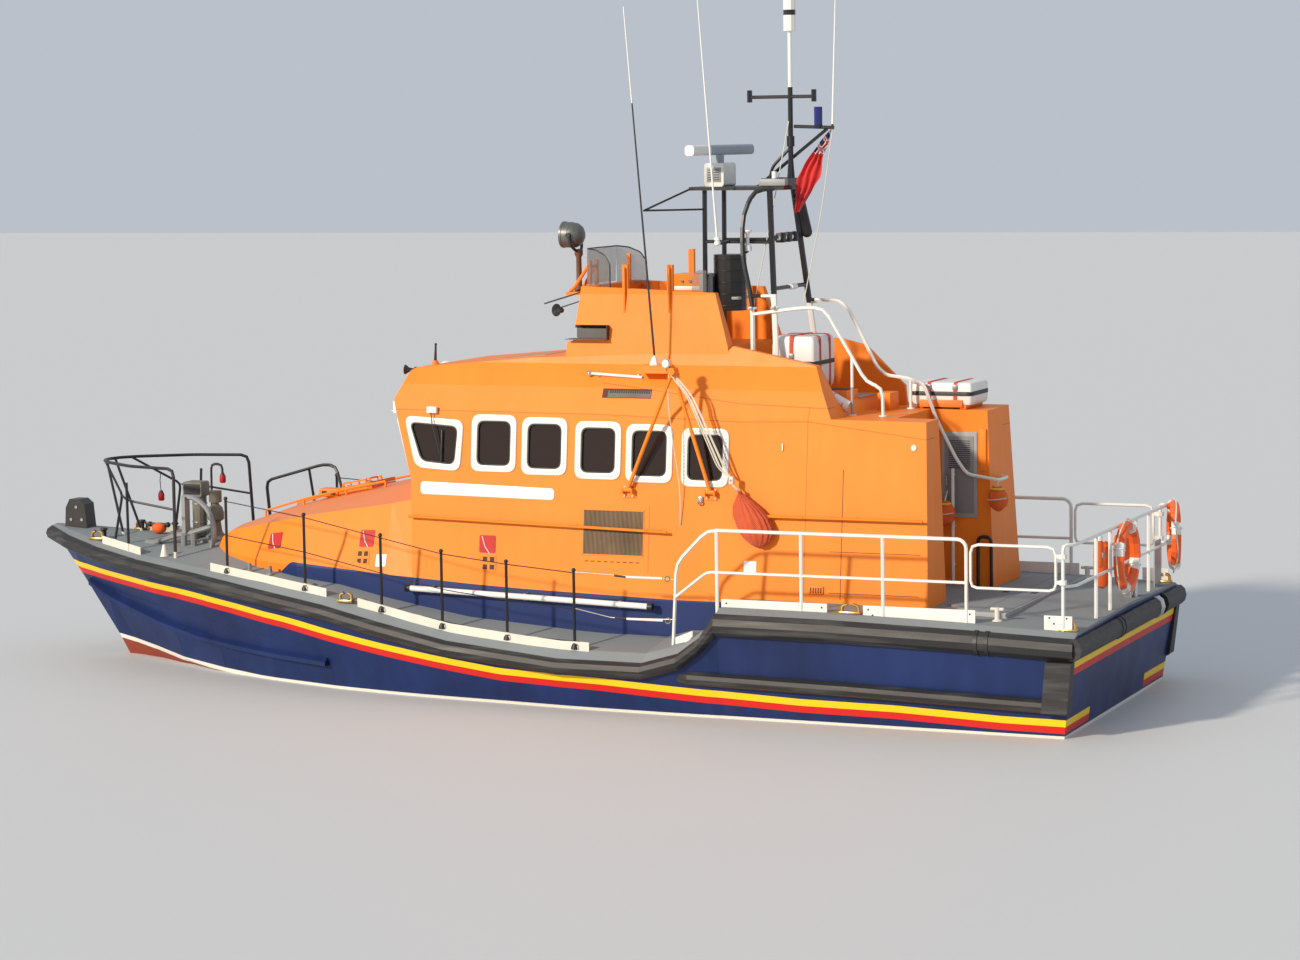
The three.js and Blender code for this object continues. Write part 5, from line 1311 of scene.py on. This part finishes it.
def addEnsign():
    bm = bmesh.new()
    grid = []
    top, foot = ensign["rows"][0][0], ensign["rows"][-1][0]
    for j in range(ensign["lines"] + 1):
        v = j / ensign["lines"]
        z = top + (foot - top) * v
        aft, fore, out = between(ensign["rows"], z)
        row = []
        for i in range(ensign["columns"] + 1):
            u = i / ensign["columns"]
            fold = (0.010 + 0.012 * min(v * 3, 1)) * math.sin(u * 19 + v * 5 + 0.6 * math.sin(v * 9))
            x = aft + (fore - aft) * u + 0.006 * math.sin(v * 21 + u * 6)
            row.append(bm.verts.new((x, out + fold + 0.004, z - 0.012 * u * u)))
        grid.append(row)
    for first, second in zip(grid, grid[1:]):
        for i in range(ensign["columns"]):
            bm.faces.new((first[i], first[i + 1], second[i + 1], second[i]))
    bmesh.ops.recalc_face_normals(bm, faces=bm.faces)
    bmesh.ops.solidify(bm, geom=bm.faces[:], thickness=ensign["thick"])
    for face in bm.faces:
        face.smooth = True
    mesh = bpy.data.meshes.new("ensignFlag")
    bm.to_mesh(mesh)
    bm.free()
    mesh.materials.append(nodes["ensign"].data.materials[0])
    flag = bpy.data.objects.new("ensignFlag", mesh)
    scene.collection.objects.link(flag)
    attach(flag, "boat")
    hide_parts("ensign")
    print("ensign", round(sum(p.area for p in mesh.polygons) / 2, 3), "square metres")


addEnsign()


# Upper steering position: round lamp head, screens, brackets, loudhailer, seat back and slots
def searchlightGrey():
    paint = Finish("searchlightShell", (0.12, 0.125, 0.12), 0.42, 0.5)
    speckle = paint.noise(60.0, 3.0)
    paint.feed("Base Color", paint.blend(speckle, (0.07, 0.075, 0.075), (0.22, 0.23, 0.22)))
    paint.feed("Roughness", speckle * 0.25 + 0.3)
    return paint.material


searchlight = {
    "centre": (-0.27, 0, 5.315), "facing": (1, 0, 0.05), "stand": (-0.36, 0, 4.652),
    "bowl": [(0, -0.165), (0.06, -0.155), (0.11, -0.125), (0.145, -0.07), (0.152, 0.0), (0.152, 0.075),
             (0.158, 0.08), (0.158, 0.105), (0.14, 0.11), (0.135, 0.095), (0, 0.092)],
    "glass": [(0, 0.102), (0.07, 0.10), (0.132, 0.096), (0.132, 0.09), (0, 0.09)],
    "post": [(0, 0.0), (0.055, 0.0), (0.062, 0.015), (0.05, 0.04), (0.034, 0.07), (0.032, 0.40), (0.05, 0.43),
             (0.05, 0.49), (0, 0.50)],
    # port half of the yoke
    "yoke": [(-0.30, 0.16, 5.315), (-0.33, 0.165, 5.20), (-0.355, 0.08, 5.13)],
}
shape = Shape("searchlightHead").wear(searchlightGrey())
shape.turned(searchlight["bowl"], searchlight["centre"], searchlight["facing"], 32)
for i in range(5):
    rib = (-0.36 + i * 0.022, 0, 5.312 + i * 0.001)
    shape.ring(rib, searchlight["facing"], 0.124 + i * 0.006, 0.006, 28)
shape.wear(lensGlow).turned(searchlight["glass"], searchlight["centre"], searchlight["facing"], 28)
yoke = searchlight["yoke"] + [(x, -y, z) for x, y, z in reversed(searchlight["yoke"])]
shape.wear(blackPlastic).tube(yoke, 0.018, 0.05, 10)
for side in (1, -1):
    shape.rod((-0.30, side * 0.14, 5.315), (-0.30, side * 0.185, 5.315), 0.03)
shape.wear(plainPaint("lampYoke", (0.16, 0.07, 0.035), 0.55, 0.15))
shape.turned(searchlight["post"], searchlight["stand"])
shape.done("searchlight", replaces=["searchlight"])

screens = Finish("smokedScreen", (0.17, 0.165, 0.16), 0.08, Alpha=0.34)
screens.feed("Roughness", screens.noise(3.0) * 0.08 + 0.04)
screen = {
    "foot": 4.715, "flare": 0.35, "thick": 0.008,
    # (along, top) of the side panes
    "sides": [(-0.66, 5.165), (-0.8, 5.15), (-0.93, 5.09), (-1.0, 4.98)],
    # port half of the rim
    "rim": [(-1.0, 0.545, 4.72), (-1.0, 0.545, 4.985), (-0.93, 0.52, 5.095), (-0.8, 0.475, 5.155),
            (-0.665, 0.43, 5.172)],
    "aftPane": [(-2.12, 4.85), (-2.19, 4.94), (-2.30, 4.94)], "aftPlace": 0.76,
}
shape = Shape("flybridgeScreens").wear(screens.material)
shape.skin([[(-0.655, y, 4.752), (-0.672, y, 5.168), (-0.662, y, 5.168), (-0.643, y, 4.752)]
            for y in (-0.41, -0.2, 0.0, 0.2, 0.41)])
for side in (1, -1):
    rings = []
    for x, top in screen["sides"]:
        inner = side * (0.425 + (-0.66 - x) * screen["flare"])
        outer = inner + side * screen["thick"]
        foot = screen["foot"]
        rings.append([(x, inner, foot), (x, inner, top), (x, outer, top), (x, outer, foot)])
    shape.skin(rings)
rim = screen["rim"] + [(x, -y, z) for x, y, z in reversed(screen["rim"])]
shape.wear(blackPlastic).tube(rim, 0.008, 0.02, 6)
shape.wear(orangePlain).block((-0.835, -0.47, 4.66), (-0.79, -0.43, 5.08), 0.006)
shape.done(replaces=["flybridge_screen"])

steering = {
    "feet": [(-0.32, -0.18), (-0.32, 0.18), (-0.70, -0.18), (-0.70, 0.18)],
    "loudhailer": [(0, -0.06), (0.03, -0.05), (0.035, 0.0), (0.075, 0.05), (0.07, 0.055), (0.02, 0.02),
                   (0, 0.02)],
    # rods (start, end, radius) of the arm of the loudhailer
    "arm": [((-0.80, 0.77, 4.70), (-0.28, 0.82, 4.545), 0.009),
            ((-0.80, 0.77, 4.60), (-0.40, 0.82, 4.475), 0.007)],
    "loudhailerAt": (-0.47, 0.82, 4.47), "loudhailerFacing": (0.3, 1, 0.1),
    # blocks (low corner, high corner, bevel)
    "seatBack": ((-2.155, 0.10, 4.064), (-1.985, 0.235, 4.88), 0.03),
    "seatSlot": ((-2.158, 0.13, 4.30), (-2.153, 0.205, 4.84), 0.002),
    "lid": ((-1.79, -0.61, 4.839), (-1.45, -0.31, 4.845), 0.002),
    "lidEdge": ((-1.80, -0.301, 4.655), (-1.44, -0.295, 4.70), 0.002), "catches": [-1.66, -1.56],
    # (along, side, top) of the posts on the coaming
    "posts": [(-1.30, 1, 5.0), (-1.86, 1, 5.0), (-1.49, -1, 5.12), (-1.86, -1, 5.0)],
}
shape = Shape("flybridgeBrackets").wear(orangePlain)
for y in (-0.10, 0.10):
    shape.block((-0.565, y - 0.02, 4.648), (-0.52, y + 0.02, 5.02), 0.005)
    shape.tube([(-0.545, y, 4.98), (-0.36, y * 1.35, 4.70), (-0.30, y * 1.4, 4.655)], 0.022, 0.04, 8)
shape.block((-0.56, -0.11, 4.93), (-0.53, 0.11, 4.965), 0.004)
shape.wear(boltGrey)
for x, y in steering["feet"]:
    shape.rod((x, y, 4.648), (x, y, 4.662), 0.012, sides=6)
# loudhailer on its arm ahead of the casing
shape.wear(blackPlastic)
for rod in steering["arm"]:
    shape.rod(*rod)
shape.turned(steering["loudhailer"], steering["loudhailerAt"], steering["loudhailerFacing"])
# seat back with painted shade in its slot, locker lid and the edge strip under it
for material, part in ((panelGrey, "seatBack"), (gapShadeAndSeam, "seatSlot"), (gritPatch, "lid"),
                       (labelWhite, "lidEdge")):
    shape.wear(material).block(*steering[part])
shape.wear(steel)
for x in steering["catches"]:
    shape.rod((x, -0.298, 4.76), (x, -0.288, 4.76), 0.02)
# small screen at the after end of the port coaming
coaming = topOf("flybridge", -2.2, screen["aftPlace"]) - 0.01
pane = [(-2.30, coaming), (-2.12, coaming)] + screen["aftPane"]
shape.at(sideways(screen["aftPlace"])).wear(screens.material)
shape.plate(roundedOutline(pane, 0.02), -0.004, 0.004)
shape.at()
# stiffening webs on the outside of the posts, and the two slots in the casing, with painted shade inside
# them, darkest under their upper lip
shape.wear(orangePlain)
for x, side, top in steering["posts"]:
    shape.block((x - 0.012, side * 0.80, 4.45), (x + 0.012, side * 0.835, top - 0.03), 0.004)
for side in (1, -1):
    shape.wear(slotShade).block((-1.112, side * 0.86 - 0.11, 4.139), (-0.60, side * 0.86 + 0.11, 4.145))
    low, high = sorted((side * 0.7455, side * 0.752))
    shape.block((-1.112, low, 4.15), (-0.66, high, 4.28))
    shape.wear(holeShadeAndSeams).block((-1.112, low, 4.265), (-0.64, high, 4.303))
    low, high = sorted((side * 0.75, side * 0.93))
    shape.block((-1.119, low, 4.14), (-1.112, high, 4.30))
shape.done()
print("upper steering position")

# Roof: non-slip patch, horn, aerial stub, wiper motor cover, low dome
roof = {
    "patch": ((-0.12, 0.50, 9), (-0.48, 0.48, 11)), "stub": (1.32, 0.5), "stubTop": (1.31, 0.5, 4.03),
    "stubFoot": [(0, 0.05), (0.03, 0.045), (0.05, 0.0), (0, 0)], "horn": (1.56, 0.6), "dome": (1.42, 0.0),
    "hornShell": [(0, -0.10), (0.04, -0.09), (0.042, -0.03), (0.02, 0.0), (0.028, 0.05), (0.06, 0.10),
                  (0.056, 0.10), (0.015, 0.04), (0, 0.04)],
    "domeShell": [(0, 0.06), (0.04, 0.055), (0.07, 0.035), (0.08, 0.0), (0, 0)],
}


def spread(start, end, count):
    return [start + (end - start) * i / (count - 1) for i in range(count)]


rows = []
for x in spread(*roof["patch"][0]):
    upper = [(x, y, topOf("wheelhouse", x, y) + 0.004) for y in spread(*roof["patch"][1])]
    rows.append(upper + [(x, y, z - 0.006) for x, y, z in reversed(upper)])
shape = Shape("roofFittings").wear(gritPatch).skin(rows)
x, y = roof["horn"]
horn = topOf("wheelhouse", x, y)
shape.wear(blackPlastic).rod((x, y, horn - 0.01), (x, y, horn + 0.06), 0.02)
shape.turned(roof["hornShell"], (x + 0.01, y, horn + 0.075), (1, 0.1, 0.05))
stub = topOf("wheelhouse", *roof["stub"])
shape.wear(orangePlain).turned(roof["stubFoot"], (*roof["stub"], stub))
shape.wear(blackPlastic).rod((*roof["stub"], stub + 0.04), roof["stubTop"], 0.018, 0.011)
shape.ball(roof["stubTop"], 0.016)
shape.wear(labelWhite).turned(roof["domeShell"], (*roof["dome"], topOf("wheelhouse", *roof["dome"])))
for y in (0.9, -0.9):
    x = touch("wheelhouse", (4, y, 3.30), (-1, 0, 0))[0].x
    shape.wear(labelWhite).block((x - 0.02, y - 0.05, 3.23), (x + 0.05, y + 0.05, 3.38), 0.014)
    shape.wear(chrome).rod((x + 0.045, y, 3.26), (x + 0.075, y, 3.255), 0.02)
shape.done()

# Trunk cabin: low grab rails, the ventilation box with its two holes, handles and hinges of the hatch
trunk = {
    # (along, across) of the posts of the port grab rail, its height and radius
    "rail": [(3.75, 0.40), (3.2, 0.42), (2.6, 0.44), (2.05, 0.46)], "railHeight": 0.075, "railRadius": 0.014,
    "vent": (2.9, 0.28), "holes": [2.83, 2.95],
    # (across, up) of a handle of the hatch, and how far the handles and hinges lie from its ends and middle
    "handle": [(-0.11, -0.005), (-0.10, 0.045), (0.10, 0.045), (0.11, -0.005)], "inward": 0.16,
}
shape = Shape("trunkFittings").wear(orangePlain)
for side in (1, -1):
    posts = [(x, side * y, topOf("trunk_cabin", x, side * y)) for x, y in trunk["rail"]]
    shape.tube([(x, y, z + trunk["railHeight"]) for x, y, z in posts], trunk["railRadius"], 0.05)
    for x, y, z in posts:
        shape.rod((x, y, z - 0.01), (x, y, z + 0.078), trunk["railRadius"])
vent = topOf("trunk_cabin", *trunk["vent"])
shape.block((2.76, 0.18, vent - 0.03), (3.03, 0.36, vent + 0.075), 0.014)
# painted shade in the two holes of the ventilation box
shape.wear(gapShadeAndSeam)
for x in trunk["holes"]:
    shape.block((x - 0.035, 0.357, vent + 0.005), (x + 0.035, 0.362, vent + 0.05), 0.001)
shape.done()
low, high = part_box("trunk_hatch")
middle, inward = (low[1] + high[1]) / 2, trunk["inward"]
shape = Shape("hatchTrim").wear(orangePlain)
for x in (low[0] + inward, high[0] - inward):
    lid = topOf("trunk_hatch", x, middle)
    shape.tube([(x, middle + across, lid + up) for across, up in trunk["handle"]], 0.011, 0.03)
shape.wear(boltGrey)
for y in (middle - inward, middle + inward):
    lid = topOf("trunk_hatch", high[0] - 0.07, y)
    shape.block((high[0] - 0.10, y - 0.03, lid - 0.003), (high[0] - 0.04, y + 0.03, lid + 0.014), 0.004)
shape.done("trunk_hatch")
print("roof and trunk")

# Bow gear: rail lamps, marker cone, mooring bollards, fender ball, roller cheeks
bow = {
    # (along, across, height, top of its cord) of the red lamps
    "lamps": [(5.115, -0.90, 2.19, 2.19), (5.81, -0.53, 1.98, 2.27)],
    "lampShell": [(0, 0.0), (0.034, 0.0), (0.04, -0.015), (0.04, -0.085), (0.03, -0.10), (0, -0.10)],
    "lampCap": [(0, 0.035), (0.02, 0.03), (0.03, 0.0), (0, 0)],
    "cone": (4.885, 0.95), "coneShell": [(0, 0.15), (0.018, 0.145), (0.05, 0.01), (0.058, 0.0), (0, 0)],
    "bollards": [(6.06, -0.45), (5.68, -0.63), (6.06, 0.45)],
    "bollard": [(0, 0.14), (0.04, 0.135), (0.05, 0.115), (0.03, 0.10), (0.027, 0.03), (0.05, 0.01),
                (0.055, 0), (0, 0)],
    "float": (5.5, 0.05), "cheekBolts": [(6.60, 1.70), (6.76, 1.70), (6.68, 1.86)],
    "socket": (2.54, 1.50), "socketShell": [(0, 0.03), (0.05, 0.028), (0.065, 0.0), (0, 0)],
    "deckPosts": [(3.5, 1.27), (3.2, 1.30)],
    "deckPost": [(0, 0.11), (0.022, 0.105), (0.025, 0.03), (0.045, 0.012), (0.05, 0), (0, 0)],
}
shape = Shape("bowGear")
for x, y, z, top in bow["lamps"]:
    cord = [(x, y, top), (x + 0.012, y, (top + z) / 2 + 0.03), (x, y, z + 0.02)]
    shape.wear(blackPlastic).tube(cord, 0.006, sides=6)
    shape.wear(redPaint).turned(bow["lampShell"], (x, y, z + 0.02))
    shape.wear(blackPlastic).turned(bow["lampCap"], (x, y, z + 0.02))
shape.wear(creamPaint).turned(bow["coneShell"], (*bow["cone"], topOf("foredeck", *bow["cone"])))
for x, y in bow["bollards"]:
    shape.wear(blackPlastic).turned(bow["bollard"], (x, y, topOf("foredeck", x, y)))
x, y = bow["float"]
deck = topOf("foredeck", x, y)
shape.wear(softOrange).ball((x, y, deck + 0.075), 0.08, (1.25, 1, 0.9))
fore, aft = (x + 0.13, y, deck + 0.12), (x - 0.13, y, deck + 0.12)
shape.wear(blackPlastic).rod(fore, aft, 0.022).ball(fore, 0.035).ball(aft, 0.035)
shape.wear(boltGrey)
for x, z in bow["cheekBolts"]:
    for side in (1, -1):
        shape.rod((x, side * 0.108, z), (x, side * 0.122, z), 0.02, sides=8)
shape.wear(gearGrey).turned(bow["socketShell"], (*bow["socket"], topOf("foredeck", *bow["socket"])))
# bands round the post by the capstan, and painted shade in its slot
shape.wear(boltGrey)
for z in (1.72, 1.95):
    shape.ring((4.93, 0, z), (0, 0, 1), 0.093, 0.008, 20)
shape.wear(gapShadeAndSeam).block((4.86, 0.10, 2.07), (5.09, 0.104, 2.20), 0.002)
shape.done()

# Small posts on the foredeck beside the trunk
shape = Shape("deckSockets").wear(gearGrey)
for side in (1, -1):
    for x, across in bow["deckPosts"]:
        y = side * across
        shape.turned(bow["deckPost"], (x, y, topOf("foredeck", x, y)))
shape.done()
print("bow gear")

# After roof: lamp, boxes and tread by the step, legs of the handrails
afterRoof = {
    # mouth, middle and after end of the lamp, its two bands and their axis
    "lamp": [(-3.70, 0.68, 3.551), (-3.74, 0.68, 3.53), (-3.985, 0.68, 3.40)],
    "bands": [(-3.80, 0.68, 3.498), (-3.92, 0.68, 3.418)], "bandAxis": (-0.88, 0, -0.47),
    # blocks (low corner, high corner, bevel)
    "lampFoot": ((-3.83, 0.65, 3.44), (-3.77, 0.71, 3.475), 0.004),
    "box": ((-3.90, 0.12, 3.44), (-3.60, 0.50, 3.565), 0.012),
    "boxOpening": ((-3.885, 0.135, 3.563), (-3.615, 0.485, 3.568), 0.003),
    "smallBox": ((-4.22, -0.385, 3.29), (-4.06, -0.08, 3.50), 0.012),
    "tread": ((-3.915, -0.44, 3.448), (-3.72, 0.10, 3.462), 0.005),
    # (along, across) of the feet of the handrails, and the heights at which two legs begin and end
    "feet": [(-4.02, 0.655), (-4.375, -0.352), (-4.40, 0.69)], "footHeight": 3.299, "leg": 0.018,
    "footShell": [(0, 0.012), (0.045, 0.012), (0.05, 0.0), (0, 0)],
    "portLeg": (3.295, 3.62, 3.95), "starboardLeg": (3.29, 3.64),
}
mouth, middle, after = afterRoof["lamp"]
shape = Shape("stepGear").wear(labelWhite).rod(middle, after, 0.062, sides=24)
# painted shade in the mouth of the lamp
shape.wear(holeShadeAndSeams).rod(mouth, middle, 0.055, sides=24)
shape.wear(boltGrey)
for band in afterRoof["bands"]:
    shape.ring(band, afterRoof["bandAxis"], 0.063, 0.007, 20)
shape.block(*afterRoof["lampFoot"])
# the opening of the box carries painted shade
for material, part in ((orangePlain, "box"), (holeShadeAndSeams, "boxOpening"), (orangePlain, "smallBox"),
                       (panelGrey, "tread")):
    shape.wear(material).block(*afterRoof[part])
port, starboard, _ = afterRoof["feet"]
foot, joint, top = afterRoof["portLeg"]
shape.wear(whitePaint).rod((*port, top), (*port, joint), afterRoof["leg"])
shape.wear(panelGrey).rod((*port, joint), (*port, foot), afterRoof["leg"])
foot, top = afterRoof["starboardLeg"]
shape.wear(whitePaint).rod((*starboard, top), (*starboard, foot), afterRoof["leg"])
for spot in afterRoof["feet"]:
    shape.turned(afterRoof["footShell"], (*spot, afterRoof["footHeight"]))
shape.done()

# Alcove aft: grey locker door, orange strip, white bar, throw bags and the black hoop
alcove = {
    "wall": -0.385, "handle": [(-0.382, 2.40), (-0.35, 2.41), (-0.35, 2.53), (-0.382, 2.54)],
    "bar": (-4.885, -0.33), "clips": [1.5, 1.95, 2.55], "hoop": ((-5.18, -5.34), (1.20, 1.84)),
    # place along, height of the neck, and (place across, rise) of the end of the lashing of the bags
    "bags": [(-4.80, 2.22, (-0.385, 0.13)), (-5.43, 2.41, (-0.345, 0.085))],
    # (shift aft, place across, drop from the neck, half width, half depth) down a bag
    "bag": [(0, -0.29, -0.02, 0.045, 0.04), (0, -0.29, 0.01, 0.07, 0.055),
            (0.005, -0.285, 0.07, 0.105, 0.075), (0.01, -0.285, 0.15, 0.115, 0.08),
            (0.01, -0.285, 0.21, 0.10, 0.075), (0.01, -0.29, 0.25, 0.05, 0.045)],
}
wall = alcove["wall"]
shape = Shape("alcoveGear").wear(panelGrey).block((-5.16, -0.402, 2.05), (-4.73, wall, 3.04), 0.008)
shape.wear(plainPaint("panelDark", (0.24, 0.25, 0.26), 0.5, 0.1))
shape.block((-5.12, -0.386, 2.10), (-4.77, -0.380, 2.99), 0.004)
# painted shade in the slots of the locker door
shape.wear(gapShadeAndSeam)
for i in range(14):
    z = 2.62 + i * 0.024
    shape.block((-5.08, -0.381, z), (-4.82, -0.377, z + 0.008))
shape.wear(steel).tube([(-4.80, y, z) for y, z in alcove["handle"]], 0.008, 0.01)
shape.wear(orangePlain).block((-5.27, -0.402, 2.60), (-5.19, -0.372, 3.08), 0.006)
shape.wear(whitePaint).rod((*alcove["bar"], 1.32), (*alcove["bar"], 2.62), 0.019)
for z in alcove["clips"]:
    shape.rod((*alcove["bar"], z), (alcove["bar"][0], -0.401, z), 0.012)
(fore, aft), (foot, top) = alcove["hoop"]
hoop = [(x, -0.34, z) for x, z in ((fore, foot), (fore, top), (aft, top), (aft, foot))]
shape.wear(blackPaint).tube(hoop, 0.02, 0.07)
shape.done()
shape = Shape("throwBags")
for x, z, (endY, rise) in alcove["bags"]:
    shape.wear(softOrange)
    hungBag(shape, [((x - shift, y, z - drop), wide, deep) for shift, y, drop, wide, deep in alcove["bag"]],
            7, 0.05, x)
    shape.wear(plainPaint("bagYellow" + str(int(-x * 10)), (0.85, 0.62, 0.04), 0.8, 0.1))
    shape.ring((x, -0.29, z - 0.005), (0, 0, 1), 0.066, 0.012, 18)
    lashing = [(x, -0.30, z + 0.02), (x, -0.32, z + 0.06), (x, endY, z + rise)]
    shape.wear(ropeWhite).tube(lashing, 0.009, 0.03)
    shape.ring((x, -0.285, z - 0.12), (0.1, 0.0, 1), 0.112, 0.007, 20)
shape.done()

# Aft deck: raised hatch, mooring posts, roller by the rail foot
aftDeck = {
    # (along, across) of the corners of the hatch, and how far its mat lies inside them
    "hatch": [(-5.27, 1.05), (-5.27, -0.36), (-5.45, -0.36), (-5.45, -1.58), (-6.11, -1.58), (-6.11, 1.58),
              (-5.70, 1.58)],
    "mat": [(-5.29, 1.04), (-5.29, -0.38), (-5.47, -0.38), (-5.47, -1.56), (-6.09, -1.56), (-6.09, 1.56),
            (-5.71, 1.56)],
    "grips": [-5.62, -5.95], "post": (-6.07, 1.78), "roller": (-2.64, 0.86),
    "postShell": [(0, 0.15), (0.03, 0.148), (0.03, 0.02), (0.055, 0.008), (0.06, 0.0), (0, 0)],
}
deck = topOf("aft_deck", -5.8, 0.0)
shape = Shape("aftDeckGear").wear(panelGrey).plate(aftDeck["hatch"], deck - 0.05, deck + 0.012, 0.006)
shape.wear(nodes["aft_deck"].data.materials[0]).plate(aftDeck["mat"], deck + 0.01, deck + 0.017, 0.002)
# painted shade in the two grips, and the dark seam across the hatch
shape.wear(gapShadeAndSeam)
for x in aftDeck["grips"]:
    shape.block((x - 0.04, -0.06, deck + 0.016), (x + 0.04, 0.06, deck + 0.0185), 0.001)
shape.block((-5.79, -1.54, deck + 0.0165), (-5.785, 1.54, deck + 0.0175))
for side in (1, -1):
    x, y = aftDeck["post"][0], side * aftDeck["post"][1]
    foot = topOf("aft_deck", x, y)
    shape.wear(creamPaint).turned(aftDeck["postShell"], (x, y, foot))
    fore, aft = (x + 0.06, y, foot + 0.13), (x - 0.06, y, foot + 0.13)
    shape.rod(aft, fore, 0.018).ball(aft, 0.02).ball(fore, 0.02)
    x, z = aftDeck["roller"]
    shape.wear(blackPlastic).rod((x, side * 2.04, z), (x, side * 2.09, z), 0.055, sides=20)
    shape.wear(boltGrey).rod((x, side * 2.03, z), (x, side * 2.10, z), 0.018, sides=12)
shape.done()

# Stern: plates on the stern rail, light canister, soft packs, grab ropes of the lifebuoys
stern = {
    "plates": [-0.58, -1.62], "canister": (-6.92, 0.78, 1.84),
    "canisterShell": [(0, 0.15), (0.045, 0.145), (0.055, 0.12), (0.055, -0.12), (0.04, -0.15), (0, -0.15)],
    "canisterCap": [(0.0, 0.23), (0.03, 0.22), (0.045, 0.18), (0.045, 0.15), (0, 0.15)],
    "packs": [(-6.87, 0.45), (-6.87, -0.40)],
    # height, half width and half depth down a soft pack
    "pack": [(1.93, 0.04, 0.06), (1.90, 0.08, 0.12), (1.80, 0.09, 0.15), (1.66, 0.095, 0.16),
             (1.54, 0.095, 0.16), (1.46, 0.08, 0.14), (1.43, 0.04, 0.07)],
    "straps": [1.56, 1.78],
    # centre along and across, and turn, of the lifebuoys
    "lifebuoys": [(-7.075, 0.16, 0.0), (-7.07, -1.93, math.radians(19.5))], "lifebuoyHeight": 1.735,
    "ringRadius": 0.35, "ringThick": 0.068, "ropeReach": 0.416, "ropeSlack": 0.03, "bandTurn": 0.35,
}
shape = Shape("sternGear")
for y in stern["plates"]:
    shape.wear(panelGrey).block((-6.962, y - 0.14, 1.14), (-6.945, y + 0.14, 1.71), 0.006)
    shape.wear(boltGrey)
    for z in (1.20, 1.64):
        for across in (y - 0.10, y + 0.10):
            shape.rod((-6.97, across, z), (-6.94, across, z), 0.012, sides=8)
shape.wear(softOrange).turned(stern["canisterShell"], stern["canister"])
shape.wear(labelWhite).turned(stern["canisterCap"], stern["canister"])
shape.wear(boltGrey).block((-6.985, 0.75, 1.80), (-6.93, 0.81, 1.86), 0.006)
for x, y in stern["packs"]:
    shape.wear(softOrange)
    hungBag(shape, [((x, y, z), wide, deep) for z, wide, deep in stern["pack"]], 5, 0.04, y)
    shape.wear(redStrap)
    for z in stern["straps"]:
        shape.ring((x, y, z), (0, 0, 1), 0.092, 0.008, 20)


for x, y, turn in stern["lifebuoys"]:
    shape.at(Matrix.Translation((x, y, stern["lifebuoyHeight"])) @ Matrix.Rotation(turn, 4, "Z"))
    rope = []
    for a in turnsOf(96):
        loop = abs(math.sin(2 * (a - stern["bandTurn"])))
        reach = stern["ropeReach"] + stern["ropeSlack"] * loop ** 0.7
        rope.append((0.012 * math.sin(4 * a), reach * math.cos(a), reach * math.sin(a) - 0.012 * loop))
    shape.wear(ropeWhite).tube(rope, 0.008, sides=6, closed=True)
    shape.wear(labelWhite)
    for quarter in range(4):
        a = math.pi / 2 * quarter + stern["bandTurn"]
        lashing = []
        for t in turnsOf(24):
            reach = stern["ringRadius"] + stern["ringThick"] * math.sin(t)
            lashing.append((stern["ringThick"] * math.cos(t), reach * math.cos(a), reach * math.sin(a)))
        shape.tube(lashing, 0.006, sides=6, closed=True)
shape.done()


# Collars of the upper fender, cut to its own section
def sectionAt(name, place, axis, keep):
    part = bmesh.new()
    part.from_mesh(nodes[name].data)
    cut = bmesh.ops.bisect_plane(part, geom=part.verts[:] + part.edges[:] + part.faces[:], plane_co=place,
                                 plane_no=axis)["geom_cut"]
    points = [v.co.copy() for v in cut if isinstance(v, bmesh.types.BMVert) and keep(v.co)]
    part.free()
    middle = sum(points, Vector()) / len(points)
    i, j = [k for k in range(3) if not axis[k]]
    points.sort(key=lambda p: math.atan2(p[j] - middle[j], p[i] - middle[i]))
    return points, middle


# way that the fender runs there, place, width, how far the collar stands out, finish
collars = [("x", -5.98, 0.05, 0.010, blackPlastic), ("x", -6.10, 0.05, 0.010, blackPlastic),
           ("y", 0.55, 0.05, 0.010, blackPlastic), ("y", 0.42, 0.05, 0.010, blackPlastic),
           ("y", -1.17, 0.13, 0.014, steel), ("y", -1.41, 0.03, 0.012, blackPlastic)]
shape = Shape("fenderCollars")
for way, at, width, grow, material in collars:
    axis = Vector((1, 0, 0) if way == "x" else (0, 1, 0))
    for side in ((1, -1) if way == "x" else (1,)):
        keep = (lambda p: p.y * side > 0) if way == "x" else (lambda p: p.x < -6.9)
        points, middle = sectionAt("fender_upper", axis * at, axis, keep)
        rings = []
        for shift, push in ((-0.5, 0.001), (-0.42, grow), (0.42, grow), (0.5, 0.001)):
            rings.append([p + (p - middle).normalized() * push + axis * width * shift for p in points])
        shape.wear(material).skin(rings)
shape.done()
print("stern")
